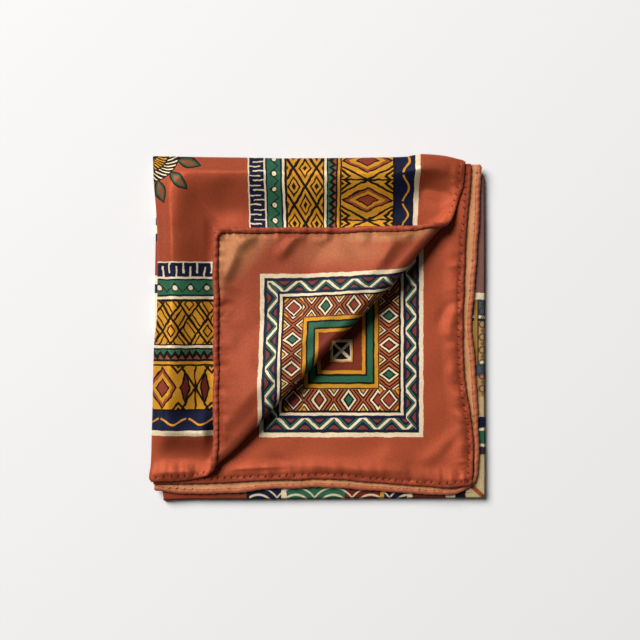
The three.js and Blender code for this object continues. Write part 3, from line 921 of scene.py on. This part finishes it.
def stripes(place, rows, end):
    """Stripes of plain colour: rows of (where the stripe starts, colour)."""
    start = rows[0][0]
    share = place.math("MULTIPLY_ADD", 1 / (end - start), -start / (end - start), clamp=True)
    node = add_node(place.tree, "ValToRGB")
    node.color_ramp.interpolation = "CONSTANT"
    share.feed(node.inputs[0], share)
    elements = node.color_ramp.elements
    elements[0].position = 0
    elements[0].color = linear(rows[0][1])
    elements[1].position = 1
    elements[1].color = linear(rows[-1][1])
    for place_at, colour in rows[1:]:
        element = elements.new((place_at - start) / (end - start))
        element.color = linear(colour)
    return Wire(place.tree, node.outputs[0])


def uv_place(tree, name):
    node = add_node(tree, "UVMap", uv_map=name)
    split = add_node(tree, "SeparateXYZ")
    tree.links.new(node.outputs[0], split.inputs[0])
    return node.outputs[0], Wire(tree, split.outputs[0]), Wire(tree, split.outputs[1])


def noise(tree, vector, scale, detail=2.0, roughness=0.5):
    sizes = {"Scale": scale, "Detail": detail, "Roughness": roughness}
    node = add_node(tree, "TexNoise", sizes, noise_dimensions="2D")
    tree.links.new(vector, node.inputs["Vector"])
    return Wire(tree, node.outputs["Fac"])


def either(upright, level, standing):
    """One number in the level band and another in the upright band."""
    return upright * (standing - level) + level


def meander(s, t, upright, base):
    """Navy strokes folded to and fro between the strip's two edges."""
    low, high = 134.5, 143.7
    stroke, link, half = 3.4, 2.3, 4.5
    beat = t * either(upright, 1.0, 1.42)
    bar = beat.around(half).abs().below(stroke / 2)
    in_first = beat.around(2 * half, half / 2).abs().below(half / 2)
    top = s.beyond(high - link) * in_first
    bottom = s.below(low + link) * in_first.minus_from(1.0)
    return paint(base, (NAVY, bar.most(top).most(bottom) * s.within(low, high)))


def dotted_strip(s, t, base):
    """Cream dots in dark rings, linked by a dark zigzag line, on green."""
    low, middle, high = 122.6, 127.2, 131.8
    step, dot, ring, half_line = 10.4, 1.55, 2.3, 0.5
    zigzag = t.around(step).abs() * 1.15 + (middle - 3.0)
    line = (s - zigzag).abs().below(half_line) * s.within(low, high)
    away = t.around(step, step / 2).distance(s - middle)
    return paint(base, (BLACK, line), (BLACK, away.below(ring)), (CREAM, away.below(dot)))


def strapwork(s, t, upright, base):
    """Nested lozenges between bars that slant both ways, ochre with black lines."""
    low, high = 90.0, 117.9
    # The cells count up along two slanting directions, p and q.
    along = t * either(upright, 0.0847, 0.0412)
    over = (s - either(upright, 98.6, 103.9)) * 0.0565
    p = along + over
    q = along - over
    in_p = p.math("FRACT") - 0.5
    in_q = q.math("FRACT") - 0.5
    odd_p = (p.math("FLOOR") * 0.5).math("FRACT") * 2.0
    odd_q = (q.math("FLOOR") * 0.5).math("FRACT") * 2.0
    # Lozenges fill the cells of even count and, in the level band, bars fill the others.
    lozenge = in_p.abs().most(in_q.abs()) * 2.0
    bars = (in_p + (in_q - in_p) * odd_p).abs() * 2.0
    barred = odd_p.most(odd_q) * upright.minus_from(1.0)
    border = lozenge.beyond(0.85, 0.05)
    ring = (lozenge + (bars - lozenge) * barred).most(border)
    bold = stripes(ring, [(0.0, OCHRE), (0.34, BLACK), (0.55, OCHRE), (0.83, BLACK)], 1.0)
    small = stripes(ring, [
        (0.0, BLACK), (0.2, OCHRE), (0.42, BLACK), (0.6, OCHRE), (0.86, BLACK),
    ], 1.0)
    warm = (p + q).around(2.0, 0.7).abs().below(0.34) * ring.within(0.61, 0.84) * 0.6
    colour = paint(bold, (small, upright), (DEEP_OCHRE, warm))
    return paint(base, (colour, s.within(low, high)))


def triangle_strip(s, t, base):
    """Green triangles that point to the hem, with brown ones between that point away."""
    step, half_step, green_tip, brown_tip = 4.75, 2.4, 82.7, 82.9
    green = t.around(step).abs() - (s - green_tip) * 0.66
    brown = t.around(step, half_step).abs() - s.minus_from(brown_tip) * 0.68
    return paint(
        base,
        (PALE_GREEN, green.below(0.0) * s.below(86.2)),
        (GREEN, green.below(-0.45) * s.below(85.9)),
        (TRIANGLE_BROWN, brown.below(-0.1) * s.beyond(80.0)),
    )


def lozenge_panel(s, t, upright, base):
    """Large nested lozenges on ochre, with crossed lines between them."""
    low, middle, high = 46.6, 61.0, 75.4
    half_period = either(upright, 21.5, 13.0)
    centre = either(upright, 200.7, 185.4)
    shifted = (t - centre + half_period).math("FLOORED_MODULO", half_period * 2.0)
    u = (shifted - half_period).abs()
    v = (s - middle).abs()
    zone = s.within(low, high)
    # Lines that cross between the lozenges
    far = (u - half_period).abs()
    line = far.below(0.6)
    cross = (far - v * 0.62).abs().below(0.8)
    # Narrow lozenges on both sides of the crossing, kept out of the upright band
    narrow = (u - 15.2).abs() * 0.33 + v * 0.096 + upright * 5.0
    # Nested chevrons that come in from the panel's edges
    chevron = (u - 10.6).abs() * 1.15 + v.minus_from(14.6)
    # The large lozenge with its rings
    ring = u * either(upright, 0.096, 0.115) + v * 0.069
    rings = [
        (0.0, BRICK), (0.36, BLACK), (0.47, OCHRE), (0.70, RING_BROWN), (0.87, BLACK), (1.0, BLACK),
    ]
    return paint(
        base,
        (BLACK, line.most(cross) * zone),
        (BLACK, narrow.below(1.2, 0.05) * zone),
        (MAROON, narrow.below(0.78, 0.05)),
        (BLACK, chevron.within(3.6, 5.8) * zone),
        (BLACK, chevron.below(1.9) * zone),
        (stripes(ring, rings, 1.001), ring.below(1.0, 0.03) * zone),
    )


def wave_strip(s, t, base):
    """A broken ochre wave on navy."""
    middle, length, swing, half_line, half_gap = 38.6, 18.0, 2.1, 0.7, 0.7
    wave = (t * (2 * math.pi / length)).math("SINE") * swing + middle
    line = (s - wave).abs().below(half_line)
    return paint(base, (OCHRE, line * t.around(length, length / 4).abs().beyond(half_gap)))


def bands(s, t, upright, base):
    """Both printed bands, for a place across the band and a place along it."""
    half_way = 89.6
    start, end, corner = 29.1, 144.6, 146.0
    lower = stripes(s, [
        (28.9, TERRACOTTA), (29.1, CREAM), (32.5, NAVY), (45.6, BLACK), (46.7, OCHRE),
        (75.4, BLACK), (76.6, OCHRE), (78.4, BLACK), (87.3, CREAM), (89.0, BLACK),
    ], 90.0)
    upper = stripes(s, [
        (89.0, BLACK), (90.0, OCHRE), (117.9, BLACK), (119.6, CREAM), (121.3, NAVY),
        (122.7, GREEN), (131.9, NAVY), (133.1, CREAM), (144.5, TERRACOTTA),
    ], 145.5)
    colour = paint(lower, (upper, s.beyond(half_way, 0.05)))
    for strip in (meander, strapwork, lozenge_panel):
        colour = strip(s, t, upright, colour)
    for strip in (dotted_strip, triangle_strip, wave_strip):
        colour = strip(s, t, colour)
    return paint(base, (colour, s.within(start, end) * t.beyond(corner)))


def zigzag_frame(run, depth, base):
    """A cream zigzag line between green ones, with brown triangles beside it."""
    low, high, step = 4.8, 11.6, 19.2
    zone = depth.within(low, high)
    arm = run.around(step).abs() - depth.minus_from(high) * 1.2 - 0.9
    inside = arm.below(-5.2) * depth.within(low, 7.2)
    outside = arm.beyond(5.0) * depth.within(9.2, 11.0)
    return paint(
        base,
        (GREEN, arm.within(-3.3, 3.2) * zone),
        (NAVY, arm.within(-2.0, 1.9) * zone),
        (CREAM, arm.within(-1.35, 1.25) * zone),
        (FRAME_BROWN, inside.most(outside)),
    )


def lozenge_frame(run, depth, u, v, base):
    """Lozenges, green and brick in turn, with crosses between them and tiles at the corners."""
    low, middle, high, step = 16.3, 22.7, 29.1, 19.6
    cell = run.around(step).abs() * 1.28 - (depth - middle).abs()
    crosses = stripes(cell, [
        (-6.5, OCHRE), (-4.4, BLACK), (-3.2, CREAM), (-1.9, BLACK), (-0.4, RUST),
        (1.0, BLACK), (2.6, AMBER), (4.3, BLACK), (5.9, CREAM), (7.7, BLACK), (9.4, GREEN),
    ], 13.0)
    other = run.math("FLOORED_MODULO", 2 * step).math("GREATER_THAN", step)
    crosses = paint(crosses, (BRICK, cell.beyond(9.3) * other))
    tile_centre, tile_edge = 31.75, 25.5
    tile = stripes((u.abs() - tile_centre).abs() + (v.abs() - tile_centre).abs(), [
        (0.0, BRICK), (3.7, BLACK), (4.7, CREAM), (5.8, BLACK), (7.2, RUST), (8.6, BLACK),
        (9.6, OCHRE), (11.4, BLACK),
    ], 13.0)
    zone = depth.within(low, high)
    at_corner = u.abs().least(v.abs()).beyond(tile_edge)
    return paint(base, (crosses, zone), (tile, at_corner * zone))


def centre_tile(u, v, base):
    """A small square of four kites in three frames."""
    centre, kite, sizes = -3.0, 6.0, (8.2, 7.6, 6.6, 5.6)
    x = u.abs()
    y = (v - centre).abs()
    square = x.most(y)
    kites = stripes((x - y).abs() * 0.8 + square.minus_from(kite).below(0.0) * -3.0, [
        (-3.0, CREAM), (1.0, BLACK),
    ], 8.0)
    colours = (BLACK, OCHRE, CREAM, kites)
    return paint(base, *[(colour, square.below(size)) for colour, size in zip(colours, sizes)])


def medallion(u, v, ring_v, phases, base):
    """Nested squares with a zigzag frame and a frame of lozenges and crosses."""
    half = 54.5
    level = ring_v.abs().math("GREATER_THAN", u.abs())
    depth = u.abs().most(ring_v.abs()).minus_from(half)
    run = v + (u - v) * level + phases[1] + level * (phases[0] - phases[1])
    colour = stripes(depth, [
        (0.0, CREAM), (2.6, NAVY), (13.0, CREAM), (14.8, BLACK), (16.2, AMBER), (29.2, BLACK),
        (30.0, OCHRE), (32.3, BLACK), (33.5, GREEN), (37.1, BLACK), (38.5, OCHRE),
        (40.5, DEEP_RED),
    ], half)
    colour = zigzag_frame(run, depth, colour)
    colour = lozenge_frame(run, depth, u, ring_v, colour)
    colour = centre_tile(u, v, colour)
    return paint(base, (colour, depth.beyond(0.0)))


def rosette(a, b, base):
    """A round flower of pointed petals about a ring of slanting strokes."""
    centre_a, centre_b, petals = 209.0, 217.0, 12
    near, far, half_width = 17.5, 35.5, 4.0
    v = b - centre_b
    u = a - centre_a
    away = u.distance(v)
    turn = v.math("ARCTAN2", u) * (petals / (2 * math.pi))
    sideways = ((turn.math("FRACT") - 0.5) * away).abs() * (2 * math.pi / petals)
    half = ((away - near) * (math.pi / (far - near))).math("SINE") * half_width
    petal = (sideways - half) * away.within(near, far)
    strokes = (turn * 3.0 + away * 0.3).math("FRACT")
    return paint(
        base,
        (BLACK, petal.below(0.0) * away.within(18.0, far)),
        (PETAL_GREEN, petal.below(-1.0) * away.within(19.0, 34.0)),
        (PETAL_BROWN, petal.below(-2.2) * away.within(20.0, 32.0)),
        (BLACK, away.below(19.5)),
        (CREAM, strokes.below(0.3, 0.1) * away.within(12.5, 18.6)),
        (OCHRE, strokes.within(0.3, 0.7, 0.1) * away.within(5.5, 11.5)),
    )


# Satin silk twill: how rough it is, how much it shines, and how deep its ribs look
SILK_SHADER = {
    "Roughness": 0.5,
    "Specular IOR Level": 0.12,
    "Sheen Weight": 0.01,
    "Sheen Roughness": 0.45,
    "Sheen Tint": linear((255, 224, 200)),
}
WEAVE_SCALE = 1.6
WEAVE_DEPTH = {"Strength": 0.35, "Distance": 0.0002}
PRINT_LUSTRE = 0.44
REVERSE_LUSTRE = 0.22
PLAIN_LUSTRE = 0.2
EDGE_LUSTRE = 0.1


def finish(tree, shader):
    output = add_node(tree, "OutputMaterial")
    tree.links.new(shader.outputs[0], output.inputs["Surface"])


def silk_surface(tree, vector, colour, lustre):
    """Finishes a colour as satin silk twill: fine slanting ribs, grain and a soft sheen."""
    shader = add_node(tree, "BsdfPrincipled", SILK_SHADER)
    colour.feed(shader.inputs["Metallic"], lustre)
    tree.links.new(colour.socket, shader.inputs["Base Color"])
    rib_sizes = {"Scale": WEAVE_SCALE, "Distortion": 0.6, "Detail": 1.0}
    ribs = add_node(tree, "TexWave", rib_sizes, wave_type="BANDS", bands_direction="DIAGONAL")
    tree.links.new(vector, ribs.inputs["Vector"])
    grain = noise(tree, vector, WEAVE_SCALE * 0.8, 3.0, 0.6)
    height = Wire(tree, ribs.outputs["Fac"]) * 0.5 + grain
    bump = add_node(tree, "Bump", WEAVE_DEPTH)
    tree.links.new(height.socket, bump.inputs["Height"])
    tree.links.new(bump.outputs[0], shader.inputs["Normal"])
    finish(tree, shader)


def blank_material(name):
    material = bpy.data.materials.new(name)
    material.use_nodes = True
    material.node_tree.nodes.clear()
    return material, material.node_tree


def mottled(tree, vector, colour, amount, shade=0.0):
    """Lets a colour vary a little over the cloth, and darkens it by a share."""
    patches = noise(tree, vector, 0.035, 3.0)
    grain = noise(tree, vector, 0.65, 4.0, 0.7)
    tone = patches * amount + grain * (amount * 4.5) + (1.0 - 2.75 * amount) + shade
    node = add_node(tree, "VectorMath", operation="SCALE")
    tree.links.new(colour.socket, node.inputs[0])
    tree.links.new(tone.socket, node.inputs[3])
    return Wire(tree, node.outputs[0])


def printed_silk(name, centre, phases, stretch):
    """Silk with the whole print, for a leaf whose medallion lies round a centre."""
    material, tree = blank_material(name)
    cloth, a, b = uv_place(tree, "Cloth")
    _, s, t = uv_place(tree, "Band")
    _, reverse, upright = uv_place(tree, "Side")
    # Hand-drawn lines waver a little.
    waver = noise(tree, cloth, 0.16) - 0.5
    a = a + waver * 1.1
    b = b - waver * 1.1
    colour = bands(s + waver * 1.1, t + waver * 2.4, upright, TERRACOTTA)
    u = a.minus_from(centre[0])
    v = b.minus_from(centre[1])
    # The rings lie farther apart on one leaf, where the fold stretches them upwards.
    upper, lower, shift = stretch
    ring_v = v.most(0.0) * lower + v.least(0.0) * upper + shift
    colour = medallion(u, v, ring_v, phases, colour)
    colour = rosette(a, b, colour)
    # The reverse is duller, with a painted sheen of tan near its hemmed corner, along part of the top
    # hem and over the top margin.
    corner = (a + b).below(44.0, 20.0)
    strip = a.below(11.0, 6.0) * b.within(86.0, 146.0, 14.0)
    sheen_margin = a.below(24.0, 10.0) * b.within(58.0, 112.0, 30.0) * 0.5
    colour = paint(colour, (SHEEN_TAN, corner.most(strip).most(sheen_margin) * reverse * 0.8))
    colour = mottled(tree, cloth, colour, 0.12, reverse * -0.19)
    silk_surface(tree, cloth, colour, either(reverse, PRINT_LUSTRE, REVERSE_LUSTRE))
    return material


def plain_silk(name, colour, layer):
    """Silk of one colour, a little darker in patches."""
    material, tree = blank_material(name)
    cloth = uv_place(tree, layer)[0]
    shade = tuple(round(c * 0.93) for c in colour)
    tone = paint(colour, (shade, noise(tree, cloth, 0.3, 3.0)))
    silk_surface(tree, cloth, mottled(tree, cloth, tone, 0.10), PLAIN_LUSTRE)
    return material


# Print on the edges of the folds, with painted shade high on the right side. Rows of (place,
# colour), from the top down on the right and left sides, and from left to right at the bottom
# and the far side.
# On the right side, the stretch from the top down to the cream is terracotta with painted shade, in
# two tones.
RIGHT_EDGE = [
    (-112.0, BRICK), (-102.0, SHADED_TERRACOTTA), (-60.0, PALE_SHADED_TERRACOTTA), (-24.0, CREAM), (-20.0, SLATE),
    (-9.0, CREAM), (-7.6, NAVY), (-5.6, SAND), (21.0, CREAM), (22.6, SLATE), (31.0, CLAY),
    (33.0, SAND), (45.0, PALE_SAND), (59.0, NAVY), (65.5, CREAM), (67.3, GREEN), (76.0, CREAM),
    (78.5, PLUM), (83.2, BEIGE),
]
BOTTOM_EDGE = [
    (-112.0, BRICK), (-70.0, DARK_BRICK), (-48.0, NAVY), (-25.0, CREAM), (-22.0, GREEN),
    (18.0, MAROON), (41.0, OCHRE), (43.0, NAVY), (59.0, CREAM), (62.0, MAROON), (84.0, CREAM),
    (91.0, BLACK), (98.0, BEIGE),
]
LEFT_EDGE = [
    (-116.0, CREAM), (-75.0, NAVY), (-69.0, CREAM), (-64.0, NAVY), (-58.0, BRICK),
    (-36.0, CREAM), (-30.0, NAVY), (-24.0, CREAM), (2.0, BRICK),
]
FAR_EDGE = [
    (-112.0, BRICK), (-47.0, CREAM), (-45.0, NAVY), (-37.0, CREAM), (-35.0, GREEN),
    (-25.0, CREAM), (-22.0, OCHRE), (4.0, CREAM), (6.0, GREEN), (14.0, BLACK), (17.0, OCHRE),
    (50.0, NAVY), (63.0, CREAM), (67.0, BRICK),
]
EDGES_END = 116.0


def folded_edges(name):
    """Print that shows on the edges of the folds: the same bands, cut off and crowded; painted shade
    high on the right.
    """
    material, tree = blank_material(name)
    plan, x, y = uv_place(tree, "Plan")
    waver = noise(tree, plan, 0.2) - 0.5
    down = y * -1.0
    right = stripes(down + waver * 1.5, RIGHT_EDGE, EDGES_END)
    left = stripes(down + waver * 2.0, LEFT_EDGE, EDGES_END)
    bottom = stripes(x + waver * 1.5, BOTTOM_EDGE, EDGES_END)
    far = stripes(x + waver * 1.5, FAR_EDGE, EDGES_END)
    # Cream arcs curve up out of the bottom edge.
    arc = x.around(25.0, 10.0).distance(y + 121.0)
    arcs = arc.within(9.6, 11.0).most(arc.within(14.4, 15.4)) * x.within(-46.0, 60.0)
    # Loops and an inner line run down the right side.
    loop_x = x - 109.5
    loop_y = y.around(8.6, 3.0)
    links = (loop_x.abs() - loop_y.abs() + 3.4).abs().below(0.5)
    loops = loop_x.distance(loop_y).within(1.7, 2.7).most(links)
    beside = y.within(-24.0, 19.0)
    # A printed strap crosses the corner.
    strap = ((x - 101.7) * 0.67 + (y + 104.4) * 0.742).abs().below(1.4)
    colour = paint(
        right,
        (left, x.below(0.0)),
        (bottom, (y + x * 0.3).below(-74.0)),
        (far, y.beyond(109.0) * x.within(-104.0, 106.0)),
        (CREAM, arcs * y.below(-104.0) * 0.85),
        (CHARCOAL, loops * x.beyond(106.6) * y.within(-44.0, 19.0) * 0.85),
        (DULL_OCHRE, x.within(104.0, 106.7) * beside),
        (BLACK, x.within(106.1, 106.9) * beside),
        (STRAP_BROWN, strap * x.beyond(100.0) * y.below(-100.0)),
    )
    silk_surface(tree, plan, mottled(tree, plan, colour, 0.15), EDGE_LUSTRE)
    return material


STITCH_SIDES = 6
STITCH_RINGS = 5
STITCH_THICK = 0.38
STITCH_BOW = 0.25


def stitches(name, spots, point_at, height, half_length, material):
    """Small slanting stitches that hold a rolled hem, as one joined mesh."""
    points = []
    faces = []
    places = []
    for centre, way, lean, _ in zip(*spots):
        run = np.array([way[1], -way[0]])
        axis = way * math.cos(lean) + run * math.sin(lean)
        side = np.array([-axis[1], axis[0]])
        faces += rope_faces(STITCH_RINGS, STITCH_SIDES, len(points))
        for share in np.linspace(-1, 1, STITCH_RINGS):
            girth = STITCH_THICK * math.sqrt(max(1 - share * share, 0.04))
            bow = STITCH_BOW * (1 - share ** 2)
            for angle in np.arange(STITCH_SIDES) * 2 * math.pi / STITCH_SIDES:
                spot = centre + axis * share * half_length + side * girth * math.cos(angle)
                points.append((spot[0], spot[1], girth * math.sin(angle) + bow))
                places.append((centre[0] + centre[1], share))
    flat = np.array(points)
    placed = point_at(flat[:, 0], flat[:, 1], height + flat[:, 2])
    return new_object(name, placed, faces, {"Rope": np.array(places)}, material)


def cut_size(leaf):
    """Flat size in metres of a leaf's silk, with the strip that is rolled into each hem."""
    corner_x, corner_y = leaf.corner()
    width = corner_x - leaf.left(0.0) + HEM_TURN
    height = leaf.top(0.0) - corner_y + HEM_TURN
    return width * MM, height * MM


# The view: straight down, as the photo shows the scarf
IMAGE_SIDE = 640
PIXEL_SIZE = 0.664
LENS = 85
SENSOR_WIDTH = 36
CAMERA_X = 1.13
CAMERA_Y = 5.78
MIDDLE_HEIGHT = 9

# A large soft lamp far up on the left, places in metres
LAMP_PLACE = (-3.15, 3.15, 4.02)
LAMP_SIZE = 4.0
LAMP_POWER = 600.0
LAMP_COLOUR = (1.0, 0.985, 0.96)
WORLD_STRENGTH = 0.07
FLOOR_REACH = 4.0
FLOOR_COLOUR = (231, 231, 233)


def add_object(name, data):
    item = bpy.data.objects.new(name, data)
    bpy.context.scene.collection.objects.link(item)
    return item


def add_camera():
    data = bpy.data.cameras.new("camera")
    data.lens = LENS
    data.sensor_width = SENSOR_WIDTH
    distance = IMAGE_SIDE * PIXEL_SIZE * LENS / SENSOR_WIDTH
    camera = add_object("camera", data)
    camera.location = (CAMERA_X * MM, CAMERA_Y * MM, (MIDDLE_HEIGHT + distance) * MM)
    bpy.context.scene.camera = camera


def add_lamp(target):
    data = bpy.data.lights.new("key", "AREA")
    data.shape = "DISK"
    data.size = LAMP_SIZE
    data.energy = LAMP_POWER
    data.color = LAMP_COLOUR
    lamp = add_object("key", data)
    lamp.location = LAMP_PLACE
    track = lamp.constraints.new("DAMPED_TRACK")
    track.target = target
    track.track_axis = "TRACK_NEGATIVE_Z"


def add_floor():
    mesh = bpy.data.meshes.new("floor")
    turns = ((-1, -1), (1, -1), (1, 1), (-1, 1))
    mesh.from_pydata([(x * FLOOR_REACH, y * FLOOR_REACH, 0) for x, y in turns], [], [(0, 1, 2, 3)])
    material, tree = blank_material("floor_paper")
    paper = {"Base Color": linear(FLOOR_COLOUR), "Roughness": 0.85}
    finish(tree, add_node(tree, "BsdfPrincipled", paper))
    mesh.materials.append(material)
    floor = add_object("floor", mesh)
    return floor


def add_world():
    world = bpy.data.worlds.new("studio")
    world.use_nodes = True
    background = world.node_tree.nodes["Background"]
    background.inputs["Color"].default_value = (1.0, 1.0, 1.0, 1)
    background.inputs["Strength"].default_value = WORLD_STRENGTH
    bpy.context.scene.world = world


# The leaves from the top down: piece name, leaf, its points, the grid's (length, coarse step,
# fine step, reach of the fine steps), how far the cloth stops inside its edge, and the place
# of its two hems that the print is measured from
LEAVES = (
    ("top_leaf", TOP_LEAF, top_leaf_point, (213, 1.12, 0.65, 18), OVER_HEM, (97.6, -100.1)),
    ("second_leaf", SECOND_LEAF, second_leaf_point, (210, 1.5, 0.7, 22), OVER_HEM, (98.4, -99.8)),
    ("third_leaf", THIRD_LEAF, third_leaf_point, (210, 3.0, 0.8, 18), HEM_WIDTH / 2, (104.0, -107.0)),
)

# Their hems: height of the rope's middle, its width and height, colour and unevenness
HEMS = (
    (-0.65, 3.7, 2.1, "rolled_hem_silk", 3),
    (-0.2, 3.6, 1.6, "rolled_hem_silk", 4),
    (1.0, 3.2, 2.2, "pale_rolled_hem_silk", 5),
)


def build_cloths():
    silks = (
        printed_silk("printed_silk_top", (85.3, 85.6), (0.0, 0.0), (1.0, 1.0, 0.0)),
        printed_silk("printed_silk_second", (83.1, 82.2), (5.0, -3.0), (0.72, 0.917, 4.5)),
        # The third leaf shows its reverse: tan, partly its own colour and partly painted sheen.
        plain_silk("sheened_tan_reverse_silk", SHEENED_REVERSE_TAN, "Cloth"),
    )
    return [
        cloth_shell(name + "_cloth", leaf, point_at, shares(*steps), inset, hems_at, silk)
        for (name, leaf, point_at, steps, inset, hems_at), silk in zip(LEAVES, silks)
    ]


def build_hems():
    silks = {
        "rolled_hem_silk": plain_silk("rolled_hem_silk", HEM_PINK, "Rope"),
        "pale_rolled_hem_silk": plain_silk("pale_rolled_hem_silk", PALE_HEM, "Rope"),
    }
    return [
        tube(name + "_hem", leaf, point_at, middle, width, height, silks[silk], seed)
        for (name, leaf, point_at, *_), (middle, width, height, silk, seed) in zip(LEAVES, HEMS)
    ]


def build_stitches():
    """The hem stitches: their places, height on the leaf, half their length and their thread."""
    thread = plain_silk("hem_thread", THREAD, "Rope")
    # Stitches on the printed sides are darker: thread colour with painted shade of the dimples they
    # pull.
    shaded_thread = plain_silk("shaded_hem_thread", SHADED_THREAD, "Rope")
    flap_spots, print_spots = split_spots(TOP_STITCHES)
    return [stitches(*row) for row in (
        ("top_leaf_stitches", flap_spots, top_leaf_point, 0.1, 1.0, thread),
        ("top_leaf_print_stitches", print_spots, top_leaf_point, SILK_OVER, 1.2, shaded_thread),
        ("second_leaf_stitches", SECOND_STITCHES, second_leaf_point, SILK_OVER, 1.35, shaded_thread),
        ("third_leaf_stitches", THIRD_STITCHES, third_leaf_point, 1.2, 1.4, shaded_thread),
    )]


def build():
    add_camera()
    floor = add_floor()
    add_world()
    bpy.context.scene.view_settings.view_transform = "Standard"
    add_lamp(floor)

    top, second, third = build_cloths()
    folds = lower_folds(folded_edges("folded_edge_silk"))
    top_hem, second_hem, third_hem = build_hems()
    top_thread, print_thread, second_thread, third_thread = build_stitches()

    for piece, node, slot in (
        (top, "leaf_one", "printed_silk"),
        (second, "leaf_two", "printed_silk"),
        (third, "leaf_three", "silk_reverse"),
        (folds, "lower_fold_stack", "printed_silk_folds"),
        (top_hem, "leaf_one_hem", "hem_silk"),
        (second_hem, "leaf_two_hem", "hem_silk"),
        (third_hem, "leaf_three_hem", "hem_silk"),
    ):
        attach(piece, "root")
        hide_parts(node)
    for piece in (top_thread, print_thread, second_thread, third_thread):
        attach(piece, "root")

    for cloth, leaf, under, pieces in (
        (third, THIRD_LEAF, folds, [third_hem, third_thread]),
        (second, SECOND_LEAF, third, [second_hem, second_thread]),
        (top, TOP_LEAF, second, [top_hem, top_thread, print_thread]),
    ):
        cut_size(leaf)


build()
